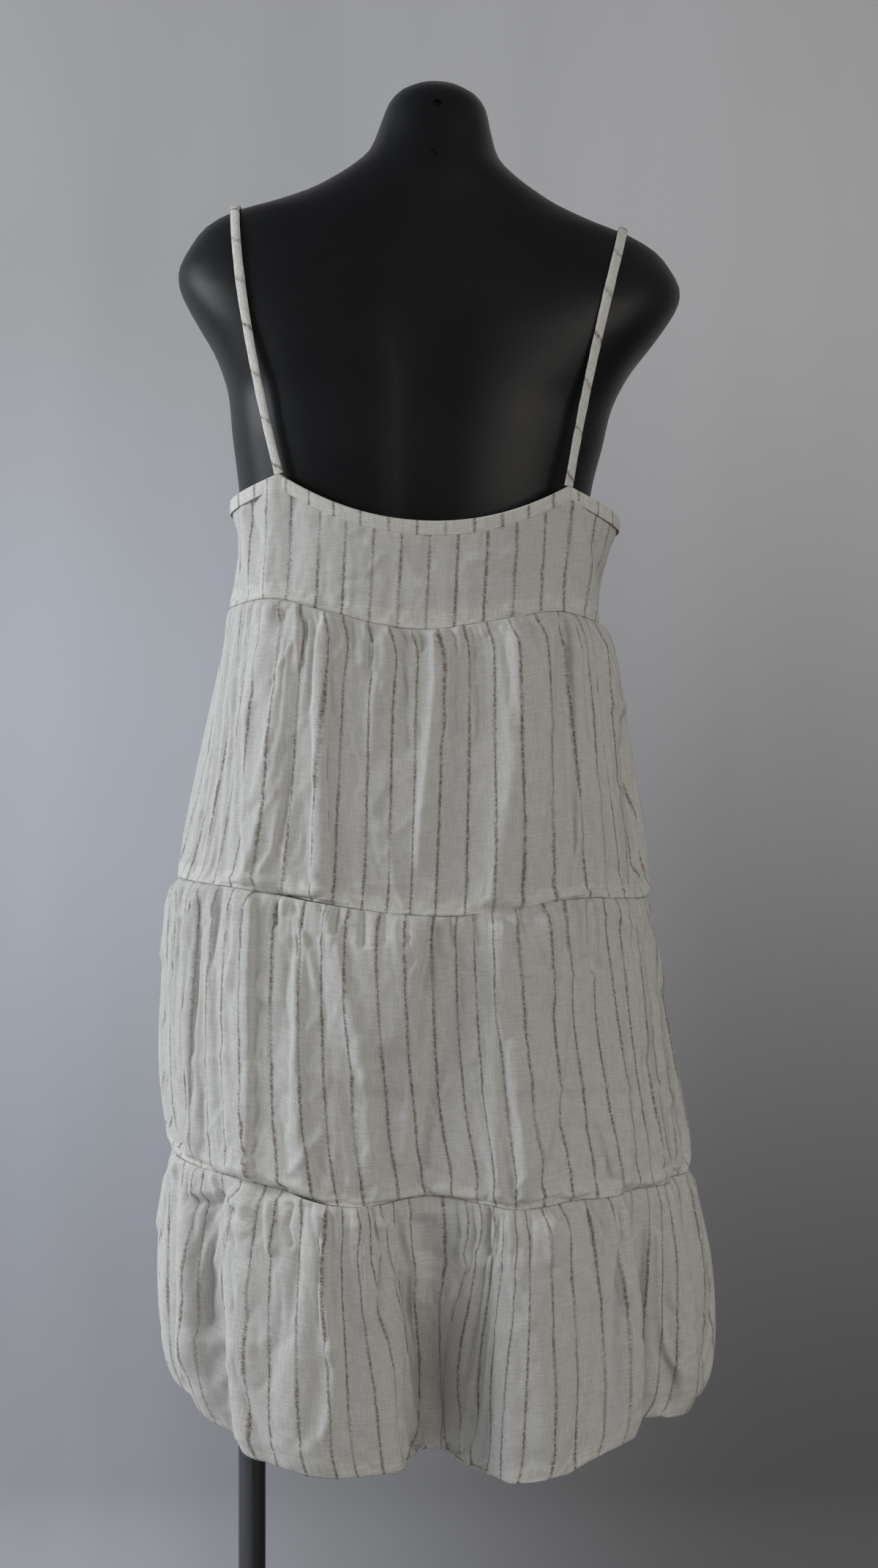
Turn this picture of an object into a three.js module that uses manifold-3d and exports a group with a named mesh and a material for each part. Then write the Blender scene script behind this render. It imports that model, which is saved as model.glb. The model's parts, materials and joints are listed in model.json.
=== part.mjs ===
// A tiered linen sundress with thin shoulder straps, worn on a black dress form.
// The form stands on one pole and a round base plate.
// All sizes are in millimetres. +X is to the right when the back of the dress is
// looked at, -Y is the side of the back, +Z is up, and the origin is the middle of
// the base plate's underside.
import * as THREE from "three";
import { mergeVertices } from "three/addons/utils/BufferGeometryUtils.js";
import Module from "manifold-3d";

// The stand
const BASE = { radius: 190, thickness: 6, chamfer: 1.5 };
const POLE = { radius: 11, x: -139, y: 6, intoForm: 40 };

// Cloth
const CLOTH = 1.4; // thickness of every cloth wall
const SEAM_GAP = 0.4; // between two pieces at a seam
const TILT = 0.043; // the dress and the form hang this much lower towards +X
const SHOULDER_TILT = 0.02;

// The form's horizontal sections. back and front are depths from Y = 0, square is
// the exponent of the section's superellipse and x is the section's middle.
const FORM = [
  { z: 705, width: 143, back: 86, front: 80, square: 2.2, x: -18.5 },
  { z: 713, width: 150, back: 94, front: 86, square: 2.2, x: -18.5 },
  { z: 760, width: 154, back: 103, front: 90, square: 2.2, x: -18.5 },
  { z: 820, width: 153, back: 106, front: 87, square: 2.2, x: -18.4 },
  { z: 880, width: 143, back: 92, front: 85, square: 2.2, x: -16.7 },
  { z: 940, width: 126, back: 75, front: 79, square: 2.2, x: -14.9 },
  { z: 1000, width: 115, back: 67, front: 77, square: 2.2, x: -13.1 },
  { z: 1060, width: 122, back: 72, front: 88, square: 2.2, x: -11.3 },
  { z: 1110, width: 132, back: 80, front: 108, square: 2.2, x: -9.8 },
  { z: 1150, width: 138, back: 86, front: 120, square: 2.3, x: -8.6 },
  { z: 1184, width: 143, back: 89, front: 117, square: 2.4, x: -7.6 },
  { z: 1210, width: 148, back: 90, front: 107, square: 2.5, x: -5.8 },
  { z: 1240, width: 153, back: 91, front: 94, square: 2.6, x: -3.7 },
  { z: 1257, width: 159, back: 91, front: 87, square: 2.8, x: -2.5 },
  { z: 1275, width: 168, back: 90, front: 81, square: 3.0, x: -1.2 },
  { z: 1297, width: 183, back: 88, front: 74, square: 3.1, x: 0.5 },
  { z: 1316, width: 195, back: 84, front: 68, square: 3.0, x: 2 },
  { z: 1328, width: 200, back: 81, front: 65, square: 2.8, x: 3.4 },
  { z: 1340, width: 200, back: 77, front: 62, square: 2.7, x: 4.4 },
  { z: 1356, width: 192, back: 71, front: 58, square: 2.6, x: 4.8 },
  { z: 1370, width: 181, back: 66, front: 55, square: 2.5, x: 5.3 },
  { z: 1382, width: 161, back: 62, front: 53, square: 2.4, x: 5.8 },
  { z: 1390, width: 137, back: 60, front: 52, square: 2.3, x: 6.2 },
  { z: 1402, width: 106, back: 58, front: 51, square: 2.2, x: 6.6 },
  { z: 1413, width: 86, back: 57, front: 51, square: 2.1, x: 7 },
  { z: 1426, width: 67, back: 55, front: 51, square: 2, x: 7.3 },
  { z: 1440, width: 52.5, back: 51, front: 50, square: 2, x: 7.8 },
  { z: 1465, width: 43.5, back: 45, front: 46, square: 2, x: 9.3 },
  { z: 1479, width: 39, back: 40, front: 41, square: 2, x: 10.5 },
  { z: 1489, width: 31, back: 32, front: 33, square: 2, x: 11.2 },
  { z: 1495.5, width: 19, back: 19, front: 20, square: 2, x: 11.6 },
];
const FORM_TOP = 1498.5;
const FORM_COLUMNS = 34;
const SPINE = { depth: 5, width: 20, from: 1000, to: 1400 };

// The dress's horizontal sections as they would lie without folds. x is the middle.
const DRESS = [
  { z: 460, width: 208, back: 186, front: 194, x: 11, square: 2.1 },
  { z: 477, width: 218, back: 189, front: 197, x: 11, square: 2.1 },
  { z: 514, width: 223.5, back: 191, front: 199, x: 10, square: 2.1 },
  { z: 562, width: 222.5, back: 190, front: 198, x: 8.5, square: 2.1 },
  { z: 605, width: 215.5, back: 187, front: 194, x: 7, square: 2.1 },
  { z: 625, width: 210, back: 183, front: 190, x: 7, square: 2.1 },
  { z: 639, width: 206, back: 178, front: 186, x: 5, square: 2.1 },
  { z: 662, width: 210.5, back: 178, front: 186, x: 3, square: 2.1 },
  { z: 693, width: 210.5, back: 178, front: 185, x: -2.4, square: 2.1 },
  { z: 739, width: 206, back: 173, front: 181, x: -7, square: 2.1 },
  { z: 785, width: 200.5, back: 166, front: 176, x: -9.8, square: 2.1 },
  { z: 824, width: 195, back: 160, front: 171, x: -10.5, square: 2.1 },
  { z: 843, width: 191, back: 154, front: 166, x: -10.5, square: 2.1 },
  { z: 854, width: 187.5, back: 150, front: 162, x: -9, square: 2.1 },
  { z: 889, width: 186, back: 148, front: 161, x: -7, square: 2.1 },
  { z: 955, width: 174.5, back: 139, front: 155, x: -5.3, square: 2.2 },
  { z: 1020, width: 161.5, back: 123, front: 147, x: -4, square: 2.3 },
  { z: 1049, width: 155.5, back: 114, front: 143, x: -3, square: 2.3 },
  { z: 1070, width: 147.5, back: 107, front: 139, x: -7.5, square: 2.4 },
  { z: 1100, width: 145.5, back: 101, front: 139, x: -4.4, square: 2.5 },
  { z: 1130, width: 147.5, back: 98, front: 138, x: -0.5, square: 2.5 },
  { z: 1154, width: 154, back: 97, front: 134, x: 0.3, square: 2.4 },
  { z: 1195, width: 156, back: 97, front: 124, x: 0, square: 2.3 },
];

// The levels of the seams at the sides, and how far each dips at the middle of the
// back. x is the middle of the dip, lift is the pull of the straps beside it, and a
// higher power makes the dip flatter in its middle.
const BODICE_SEAM = { level: 1068, x: -7, dip: 15, width: 60, power: 2, lift: 6, frontDip: 4 };
const UPPER_SEAM = { level: 854, x: -9, dip: 15, width: 105, power: 2, lift: 0, frontDip: 4 };
const LOWER_SEAM = { level: 639, x: 5, dip: 15, width: 130, power: 2, lift: 0, frontDip: 5 };
const HEM = { level: 460, x: -14, dip: 33, width: 150, power: 5, lift: 0, frontDip: 30 };

// The bodice's top edge: low in the middle, a point under each strap, and lower
// again at the underarm.
const UNDERARM = 1154;
const BACK_TOP = { middle: 1136, point: 1170, pointX: 112, curve: 2.1 };
const FRONT_TOP = { middle: 1138, point: 1190, pointX: 98, curve: 1.5 };
const BINDING = { height: 10, thickness: 1, above: 0.5, gap: 0.05 };
const BODICE_COLUMNS = 46; // in half a turn
// The columns that each binding covers, counted from the side at -X over the back
const BINDINGS = [
  { name: "binding_back", from: 12, to: 34 },
  { name: "binding_right", from: 34, to: 60 },
  { name: "binding_front", from: 60, to: 78 },
  { name: "binding_left", from: 78, to: 104 },
];

// Gathers of each tier: waves on one half, their height and how far down they reach
const TIERS = [
  { name: "tier_1", gathers: 20, height: 2.8, reach: 55, stay: 0.25 },
  { name: "tier_2", gathers: 22, height: 3.2, reach: 60, stay: 0.3 },
  { name: "tier_3", gathers: 24, height: 3.4, reach: 55, stay: 0.3 },
];
const COLUMNS_PER_GATHER = 4;
const TIER_ROWS = [0, 0.1, 0.3, 0.62, 1];
const HEM_TIER_ROWS = [0, 0.12, 0.34, 0.62, 0.86, 1];

// Large folds. angle is measured round the dress in degrees: 0 is the middle of
// the back, 90 the side at +X and 180 the middle of the front. depth is inward.
// flat is half the width of a fold's floor, left and right are the widths of its
// flanks, and drift is how far it moves for each metre that it falls.
const FOLDS = [
  { angle: 0, flat: 8, depth: 74, left: 1.7, right: 6, from: 650, to: 480, drift: 0 },
  { angle: 0, flat: 8, depth: 28, left: 9, right: 6, from: 640, to: 500, drift: 0 },
  { angle: -2, flat: 0, depth: 26, left: 12, right: 14, from: 845, to: 690, drift: 10 },
  { angle: 49, flat: 2, depth: 44, left: 2.8, right: 7, from: 690, to: 520, drift: 10 },
  { angle: -46, flat: 1, depth: 34, left: 6, right: 4, from: 660, to: 520, drift: 0 },
  { angle: -68, flat: 0, depth: 14, left: 5, right: 5, from: 640, to: 500, drift: 0 },
  { angle: 66, flat: 0, depth: 12, left: 5, right: 6, from: 830, to: 600, drift: 25 },
  { angle: -30, flat: 0, depth: 7, left: 5, right: 7, from: 1000, to: 880, drift: -10 },
  { angle: 30, flat: 0, depth: 8, left: 6, right: 6, from: 820, to: 700, drift: 8 },
  { angle: 114, flat: 0, depth: 22, left: 7, right: 7, from: 830, to: 560, drift: 10 },
  { angle: 137, flat: 1, depth: 40, left: 7, right: 6, from: 700, to: 500, drift: 0 },
  { angle: 170, flat: 3, depth: 60, left: 6, right: 8, from: 650, to: 480, drift: 0 },
  { angle: 182, flat: 0, depth: 16, left: 12, right: 12, from: 850, to: 700, drift: 0 },
  { angle: 206, flat: 0, depth: 30, left: 8, right: 6, from: 720, to: 520, drift: 0 },
  { angle: 236, flat: 1, depth: 38, left: 6, right: 8, from: 660, to: 500, drift: 0 },
  { angle: 255, flat: 0, depth: 16, left: 7, right: 7, from: 830, to: 600, drift: 0 },
];

// The straps run from the back points over the shoulders to the front points. A
// strap with a positive bow moves outwards soon after it leaves the bodice.
const STRAP = {
  width: 7.6,
  thickness: 3.4,
  clearance: 1.1,
  level: 1162,
  crest: 1392,
  sides: 8,
  steps: 36,
  rounds: 900,
};
const STRAPS = [
  { name: "strap_left", side: -1, crestX: -150, bow: 0.5 },
  { name: "strap_right", side: 1, crestX: 159, bow: -0.25 },
];

const { abs, cos, exp, max, min, PI, pow, sign, sin, sqrt } = Math;
const radians = (degrees) => (degrees * PI) / 180;
const smooth = (t) => {
  const u = min(1, max(0, t));
  return u * u * (3 - 2 * u);
};
const bell = (distance, width) => exp(-((distance / width) ** 2));

// A table's columns at a height, on smooth curves through its rows.
function sample(table, z) {
  const last = table.length - 1;
  const height = min(table[last].z, max(table[0].z, z));
  let i = table.findIndex((row) => row.z > height) - 1;
  if (i < 0) i = last - 1;
  const [a, b, c, d] = [max(0, i - 1), i, i + 1, min(last, i + 2)].map((k) => table[k]);
  const span = c.z - b.z;
  const t = (height - b.z) / span;
  const at = { z: height };
  for (const key of Object.keys(b)) {
    if (key === "z") continue;
    const slopeIn = ((c[key] - a[key]) / (c.z - a.z)) * span;
    const slopeOut = ((d[key] - b[key]) / (d.z - b.z)) * span;
    const rise = c[key] - b[key];
    at[key] =
      b[key] +
      t * (slopeIn + t * (3 * rise - 2 * slopeIn - slopeOut + t * (slopeIn + slopeOut - 2 * rise)));
  }
  return at;
}

// A closed mesh from rings of points, each ring going round with +Z on its left hand,
// from the lowest ring to the highest, closed by a fan at both ends.
function closedRings(rings, bottom, top) {
  const n = rings[0].length;
  const points = [...rings.flat(), bottom, top];
  const faces = [];
  const lowest = points.length - 2;
  const highest = points.length - 1;
  const lastRing = (rings.length - 1) * n;
  for (let i = 0; i < n; i++) {
    const next = (i + 1) % n;
    for (let r = 0; r < lastRing; r += n) {
      faces.push(r + i, r + next, r + n + next, r + i, r + n + next, r + n + i);
    }
    faces.push(lowest, next, i, highest, lastRing + i, lastRing + next);
  }
  return geometryOf(points, faces);
}

function geometryOf(points, faces) {
  const geometry = new THREE.BufferGeometry();
  const numbers = points.flatMap((p) => [p.x, p.y, p.z]);
  geometry.setAttribute("position", new THREE.Float32BufferAttribute(numbers, 3));
  geometry.setIndex(faces);
  return geometry;
}

// A closed wall. point(i, j, side) is the place of column i and row j on the outer
// face (side 1) or the inner one (side -1). Columns go to the right when the wall is
// seen from outside, and rows go down.
function wall(columns, rows, point) {
  const points = [];
  const faces = [];
  const index = (i, j, side) => (i * (rows + 1) + j) * 2 + (side > 0 ? 0 : 1);
  for (let i = 0; i <= columns; i++) {
    for (let j = 0; j <= rows; j++) {
      points.push(point(i, j, 1), point(i, j, -1));
    }
  }
  const quad = (a, b, c, d) => faces.push(a, b, c, a, c, d);
  for (let i = 0; i < columns; i++) {
    for (let j = 0; j < rows; j++) {
      quad(index(i, j, 1), index(i, j + 1, 1), index(i + 1, j + 1, 1), index(i + 1, j, 1));
      quad(index(i, j, -1), index(i + 1, j, -1), index(i + 1, j + 1, -1), index(i, j + 1, -1));
    }
    quad(index(i, 0, 1), index(i + 1, 0, 1), index(i + 1, 0, -1), index(i, 0, -1));
    quad(index(i + 1, rows, 1), index(i, rows, 1), index(i, rows, -1), index(i + 1, rows, -1));
  }
  for (let j = 0; j < rows; j++) {
    quad(index(0, j + 1, 1), index(0, j, 1), index(0, j, -1), index(0, j + 1, -1));
    quad(
      index(columns, j, 1),
      index(columns, j + 1, 1),
      index(columns, j + 1, -1),
      index(columns, j, -1),
    );
  }
  return geometryOf(points, faces);
}

// A point on a section: angle 0 is the back's middle and 90 the side at +X.
function onSection(section, angle) {
  const s = sin(radians(angle));
  const c = cos(radians(angle));
  const power = 2 / section.square;
  const depth = c > 0 ? section.back : section.front;
  return {
    x: section.width * sign(s) * pow(abs(s), power),
    y: -depth * sign(c) * pow(abs(c), power),
  };
}

// The lower part of the form stands level on its pole, and the rest tilts.
// Its shoulders tilt a little more.
const formTilt = (z) =>
  TILT * smooth((z - FORM[0].z) / 250) + SHOULDER_TILT * smooth((z - 1340) / 50);

const spineAt = (x, z) =>
  SPINE.depth * bell(x, SPINE.width) * smooth((z - SPINE.from) / 80) * smooth((SPINE.to - z) / 60);

function formGeometry() {
  const rings = FORM.map(({ z }) => {
    const section = sample(FORM, z);
    return Array.from({ length: FORM_COLUMNS }, (_, i) => {
      const { x, y } = onSection(section, (360 * i) / FORM_COLUMNS);
      const groove = y < 0 ? spineAt(x, z) : 0;
      return new THREE.Vector3(section.x + x, y + groove, z - formTilt(z) * x);
    });
  });
  const bottom = new THREE.Vector3(FORM[0].x, 0, FORM[0].z);
  const top = new THREE.Vector3(FORM[FORM.length - 1].x, 0, FORM_TOP);
  return closedRings(rings, bottom, top);
}

// The height of a seam at a place x on the back or the front of the dress.
function seamHeight(seam, x, front) {
  const across = abs(x - seam.x);
  const dip = front ? seam.frontDip : seam.dip;
  const fall = dip * exp(-pow(across / seam.width, seam.power));
  const lift = seam.lift * bell(across - BACK_TOP.pointX, 28);
  return seam.level - fall + lift - TILT * x;
}

// The height of the bodice's top edge at a place x.
function topHeight(x, front) {
  const edge = front ? FRONT_TOP : BACK_TOP;
  const across = abs(x);
  if (across <= edge.pointX) {
    const rise = pow(across / edge.pointX, edge.curve);
    return edge.middle + (edge.point - edge.middle) * rise - TILT * x;
  }
  const widest = sample(DRESS, UNDERARM).width;
  const fall = min(1, (across - edge.pointX) / (widest - edge.pointX));
  return edge.point + (UNDERARM - edge.point) * fall - TILT * x;
}

// How far the large folds push the cloth inwards.
function foldDepth(angle, z) {
  let depth = 0;
  for (const fold of FOLDS) {
    const turn = angle - (fold.angle + (fold.drift * (fold.from - z)) / 1000);
    const wrapped = turn - 360 * Math.round(turn / 360);
    const width = wrapped < 0 ? fold.left : fold.right;
    const beside = max(0, abs(wrapped) - fold.flat);
    depth += fold.depth * bell(beside, width) * smooth((fold.from - z) / (fold.from - fold.to));
  }
  return depth;
}

// A place on the unfolded dress with the large folds in it.
function onDress(angle, level) {
  const section = sample(DRESS, level);
  const { x, y } = onSection(section, angle);
  const depth = y < 0 ? section.back : section.front;
  const normal = new THREE.Vector2(x / section.width ** 2, y / depth ** 2).normalize();
  const inward = foldDepth(angle, level);
  return new THREE.Vector2(section.x + x, y).addScaledVector(normal, -inward);
}

// A piece of cloth round the dress. Half a turn has the given number of columns, and
// span tells which of them the piece covers: columns are counted from the side at
// -X, over the back to the side at +X, and on over the front. Its rows lie between
// two levels, ripple(u, v) is added outwards, and heightAt gives the height.
function panel({ columns, span, rows, levels, ripple, heightAt, out = 0, thickness = CLOTH }) {
  const [first, last] = span;
  const count = Math.round(last - first);
  const whole = count === columns; // such a piece ends at the sides
  const angles = Array.from({ length: count + 1 }, (_, i) => {
    const place = min(last, max(first, Math.round(first) + i));
    return -90 + (180 * place) / columns;
  });
  const plan = rows.map((v) => {
    const level = levels[0] + (levels[1] - levels[0]) * v;
    return angles.map((angle) => onDress(angle, level));
  });
  const outward = (line, i) => {
    const before = line[max(0, i - 1)];
    const after = line[min(count, i + 1)];
    return new THREE.Vector2(after.y - before.y, before.x - after.x).normalize();
  };
  const rippled = plan.map((line, j) =>
    line.map((p, i) => p.clone().addScaledVector(outward(line, i), ripple(i / count, rows[j]))),
  );
  const middle = cos(radians((angles[0] + angles[count]) / 2));
  return wall(count, rows.length - 1, (i, j, side) => {
    const line = rippled[j];
    const facing = whole ? -sign(middle) : -sign(Math.round(1e6 * cos(radians(angles[i]))));
    const atSide = whole && (i === 0 || i === count);
    const normal = atSide ? new THREE.Vector2(sign(line[i].x), 0) : outward(line, i);
    const p = line[i].clone().addScaledVector(normal, out + (side * thickness) / 2);
    return new THREE.Vector3(p.x, p.y + (facing * SEAM_GAP) / 2, heightAt(p.x, rows[j], facing > 0));
  });
}

// Gathers: even waves that are strong under the seam and fade lower down.
function gatherRipple(tier, height) {
  return (u, v) => {
    const ends = min(1, u * tier.gathers, (1 - u) * tier.gathers);
    const fade = exp(-(v * height) / tier.reach) + tier.stay * (1 - v) * smooth(v * 8);
    const uneven = 1 + 0.35 * sin(u * 37) * sin(u * 11 + 1);
    return tier.height * ends * fade * uneven * cos(2 * PI * tier.gathers * u);
  };
}

const linen = new THREE.MeshStandardMaterial({ color: 0xe4e2da, roughness: 0.88 });
const blackPlastic = new THREE.MeshStandardMaterial({ color: 0x0b0b0c, roughness: 0.42 });
const steel = new THREE.MeshStandardMaterial({ color: 0x8a8c90, roughness: 0.2, metalness: 1 });
const blackSteel = new THREE.MeshStandardMaterial({ color: 0x141416, roughness: 0.5 });

const group = new THREE.Group();
function add(name, geometry, material) {
  const mesh = new THREE.Mesh(geometry, material);
  mesh.name = name;
  group.add(mesh);
  return mesh;
}

const wasm = await Module();
wasm.setup();

function solid(geometry) {
  const bare = geometry.clone().deleteAttribute("normal").deleteAttribute("uv");
  const merged = mergeVertices(bare, 1e-3);
  return new wasm.Manifold(
    new wasm.Mesh({
      numProp: 3,
      vertProperties: merged.attributes.position.array,
      triVerts: new Uint32Array(merged.index.array),
    }),
  );
}

function geometryFromSolid(body) {
  const mesh = body.getMesh();
  const geometry = new THREE.BufferGeometry();
  geometry.setAttribute("position", new THREE.BufferAttribute(mesh.vertProperties, 3));
  geometry.setIndex(new THREE.BufferAttribute(mesh.triVerts, 1));
  return geometry;
}

// An upright round bar with its axis through (x, y)
function bar(radius, low, high, x, y, sides) {
  const geometry = new THREE.CylinderGeometry(radius, radius, high - low, sides);
  geometry.rotateX(PI / 2);
  return geometry.translate(x, y, (low + high) / 2);
}

// The form, with the socket that the pole stands in
function addForm() {
  const socketRadius = POLE.radius + SEAM_GAP;
  const underside = FORM[0].z;
  const socket = bar(socketRadius, underside - 20, underside + POLE.intoForm, POLE.x, POLE.y, 24);
  const body = solid(formGeometry()).subtract(solid(socket));
  add("form_torso", geometryFromSolid(body), blackPlastic);
}

function addStand() {
  const { radius, thickness, chamfer } = BASE;
  const profile = [
    [0, 0],
    [radius, 0],
    [radius, thickness - chamfer],
    [radius - chamfer, thickness],
    [0, thickness],
  ].map(([x, y]) => new THREE.Vector2(x, y));
  const plate = new THREE.LatheGeometry(profile, 48).rotateX(PI / 2);
  add("base_plate", plate, blackSteel);
  const top = FORM[0].z + POLE.intoForm - SEAM_GAP;
  add("pole", bar(POLE.radius, thickness + SEAM_GAP, top, POLE.x, POLE.y, 24), steel);
}

// The bodice is a back and a front, with a binding along the neckline of each and
// one round each armhole. The bindings lie on the panels' own points, moved out.
function addBodice() {
  const columns = BODICE_COLUMNS;
  const levels = [UNDERARM + 8, BODICE_SEAM.level];
  const bound = BINDING.height / (levels[0] - levels[1]);
  const heightAt = (x, v, front) => {
    const top = topHeight(x, front);
    if (v <= bound) return top - BINDING.height * (v / bound);
    const lowest = seamHeight(BODICE_SEAM, x, front) + SEAM_GAP / 2;
    const share = (v - bound) / (1 - bound);
    return (top - BINDING.height) * (1 - share) + lowest * share;
  };
  const cloth = { columns, levels, ripple: () => 0 };
  for (const [name, span] of [
    ["bodice_back", [0, columns]],
    ["bodice_front", [columns, 2 * columns]],
  ]) {
    add(name, panel({ ...cloth, span, rows: [0, bound, 0.5, 1], heightAt }), linen);
  }
  const strip = {
    ...cloth,
    rows: [0, bound],
    out: (CLOTH + BINDING.thickness) / 2 + SEAM_GAP,
    thickness: BINDING.thickness,
    heightAt: (x, v, front) => heightAt(x, v, front) + (v === 0 ? BINDING.above : 0),
  };
  for (const { name, from, to } of BINDINGS) {
    const span = [from + BINDING.gap, to - BINDING.gap];
    add(name, panel({ ...strip, span }), linen);
  }
}

function addTier(tier, upperSeam, lowerSeam, isLast) {
  const height = upperSeam.level - lowerSeam.level;
  const gap = isLast ? 0 : SEAM_GAP / 2;
  const columns = tier.gathers * COLUMNS_PER_GATHER;
  for (const [half, span] of [
    ["back", [0, columns]],
    ["front", [columns, 2 * columns]],
  ]) {
    const body = panel({
      columns,
      span,
      rows: isLast ? HEM_TIER_ROWS : TIER_ROWS,
      levels: [upperSeam.level, lowerSeam.level],
      ripple: gatherRipple(tier, height),
      heightAt: (x, v, front) =>
        (seamHeight(upperSeam, x, front) - SEAM_GAP / 2) * (1 - v) +
        (seamHeight(lowerSeam, x, front) + gap) * v,
    });
    add(`${tier.name}_${half}`, body, linen);
  }
}

// How far a place lies outside the form's smooth surface, and the direction away
// from it
function offForm(place) {
  const value = (x, y, z) => {
    const upright = z + formTilt(z) * x;
    const section = sample(FORM, upright);
    const depth = y < 0 ? section.back : section.front;
    const across = pow(abs(x - section.x) / section.width, section.square);
    return pow(across + pow(abs(y) / depth, section.square), 1 / section.square) - 1;
  };
  const step = 0.5;
  const { x, y, z } = place;
  const here = value(x, y, z);
  const away = new THREE.Vector3(
    value(x + step, y, z) - value(x - step, y, z),
    value(x, y + step, z) - value(x, y - step, z),
    value(x, y, z + step) - value(x, y, z - step),
  ).divideScalar(2 * step);
  return { distance: here / away.length(), away: away.normalize() };
}

// A strap is pulled tight like a string: each of its points moves towards the middle
// of its neighbours, and out of the form.
function strapPath({ side, crestX, bow }) {
  const section = sample(DRESS, STRAP.level);
  const end = (front) => {
    const x = side * (front ? FRONT_TOP : BACK_TOP).pointX;
    const share = 1 - pow(abs(x - section.x) / section.width, section.square);
    const depth = (front ? section.front : -section.back) * pow(share, 1 / section.square);
    return new THREE.Vector3(x, depth, topHeight(x, front) + BINDING.above + SEAM_GAP);
  };
  const ends = [end(false), end(true)];
  const steps = STRAP.steps;
  const height = STRAP.crest - TILT * crestX;
  const points = Array.from({ length: steps + 1 }, (_, k) => {
    const point = ends[0].clone().lerp(ends[1], k / steps);
    point.z += (height + 40 - point.z) * sin((PI * k) / steps) ** 0.5;
    return point;
  });
  const lift = STRAP.clearance + STRAP.thickness / 2;
  for (let round = 0; round < STRAP.rounds; round++) {
    const crest = points.reduce((best, p, k) => (p.z > points[best].z ? k : best), 0);
    for (let k = 1; k < steps; k++) {
      const point = points[k];
      point.copy(points[k - 1].clone().add(points[k + 1]).multiplyScalar(0.5));
      const from = ends[k > crest ? 1 : 0];
      const climbed = min(1, max(0, (point.z - from.z) / (points[crest].z - from.z)));
      point.x = from.x + (crestX - from.x) * climbed * (1 + bow * (1 - climbed));
      const { distance, away } = offForm(point);
      if (distance < lift) {
        away.x = 0;
        point.addScaledVector(away, (lift - distance) / max(0.3, away.length()));
      }
    }
  }
  return points;
}

function addStrap(strap) {
  const curve = new THREE.CatmullRomCurve3(strapPath(strap), false, "centripetal");
  const rings = [];
  for (let k = 0; k <= STRAP.steps; k++) {
    const centre = curve.getPointAt(k / STRAP.steps);
    const along = curve.getTangentAt(k / STRAP.steps);
    const { away } = offForm(centre);
    const up = away.addScaledVector(along, -along.dot(away)).normalize();
    const wide = new THREE.Vector3().crossVectors(along, up);
    rings.push(
      Array.from({ length: STRAP.sides }, (_, i) => {
        const turn = (2 * PI * i) / STRAP.sides;
        return centre
          .clone()
          .addScaledVector(wide, (STRAP.width / 2) * cos(turn))
          .addScaledVector(up, (-STRAP.thickness / 2) * sin(turn));
      }),
    );
  }
  const last = rings.length - 1;
  const middle = (ring) => ring[0].clone().add(ring[STRAP.sides / 2]).multiplyScalar(0.5);
  add(strap.name, closedRings(rings, middle(rings[0]), middle(rings[last])), linen);
}

addForm();
addStand();
addBodice();
addTier(TIERS[0], BODICE_SEAM, UPPER_SEAM, false);
addTier(TIERS[1], UPPER_SEAM, LOWER_SEAM, false);
addTier(TIERS[2], LOWER_SEAM, HEM, true);
for (const strap of STRAPS) addStrap(strap);

export default group;
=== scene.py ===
# %% [markdown]
# # A tiered linen sundress on a black dress form
#
# This lesson dresses a fixed frame of plain solids in what the eye expects: a smooth
# satin-black form, a chromed pole, and above all a worn linen dress with woven stripes,
# gathers, creases and sewn edges. The dress is seen from behind. The frame is never
# changed. The finished pieces have to stay inside it but for a few millimetres of
# cloth.

# %% Load the frame
import json
import math

import bpy
import numpy as np
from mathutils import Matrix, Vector

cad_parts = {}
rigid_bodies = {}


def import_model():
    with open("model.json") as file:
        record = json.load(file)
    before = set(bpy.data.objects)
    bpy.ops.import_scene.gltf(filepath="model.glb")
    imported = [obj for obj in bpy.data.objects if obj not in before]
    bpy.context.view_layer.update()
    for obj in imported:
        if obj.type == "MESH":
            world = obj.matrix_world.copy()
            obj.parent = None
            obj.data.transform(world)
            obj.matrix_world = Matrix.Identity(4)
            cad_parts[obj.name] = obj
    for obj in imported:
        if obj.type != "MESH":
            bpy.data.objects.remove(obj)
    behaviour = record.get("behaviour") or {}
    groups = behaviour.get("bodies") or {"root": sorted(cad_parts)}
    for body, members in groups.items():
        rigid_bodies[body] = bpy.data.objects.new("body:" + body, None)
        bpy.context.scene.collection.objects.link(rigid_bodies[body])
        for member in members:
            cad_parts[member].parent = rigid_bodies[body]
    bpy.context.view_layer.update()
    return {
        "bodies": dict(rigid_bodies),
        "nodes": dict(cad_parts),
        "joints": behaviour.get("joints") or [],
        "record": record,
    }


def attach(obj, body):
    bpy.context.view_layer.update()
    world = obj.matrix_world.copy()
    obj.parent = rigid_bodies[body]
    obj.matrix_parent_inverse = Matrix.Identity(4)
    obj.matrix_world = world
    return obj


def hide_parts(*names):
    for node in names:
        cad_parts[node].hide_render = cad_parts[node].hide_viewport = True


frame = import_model()
bpy.ops.object.select_all(action="DESELECT")
MM = 0.001

# %% [markdown]
# ## The camera
#
# The camera stands level, 1.9 m behind the dress. Its long side is upright, and the lens
# belongs to that side's 36 mm. Where a fold is given by its place in the picture, the same
# numbers tell where a point of the cloth is seen, on a picture 1200 by 2143 points large.

# %% Camera
EYE = (11.8, -1900.0, 936.0)
LENS = 54.26
PICTURE = (1200, 2143)
FILM = 36
FOCAL = LENS / FILM * PICTURE[1]


def in_picture(x, y, z):
    """Where points of the dress, in mm, are seen by the camera."""
    away = y - EYE[1]
    across = PICTURE[0] / 2 + (x - EYE[0]) * FOCAL / away
    down = PICTURE[1] / 2 - (z - EYE[2]) * FOCAL / away
    return across, down


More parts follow.
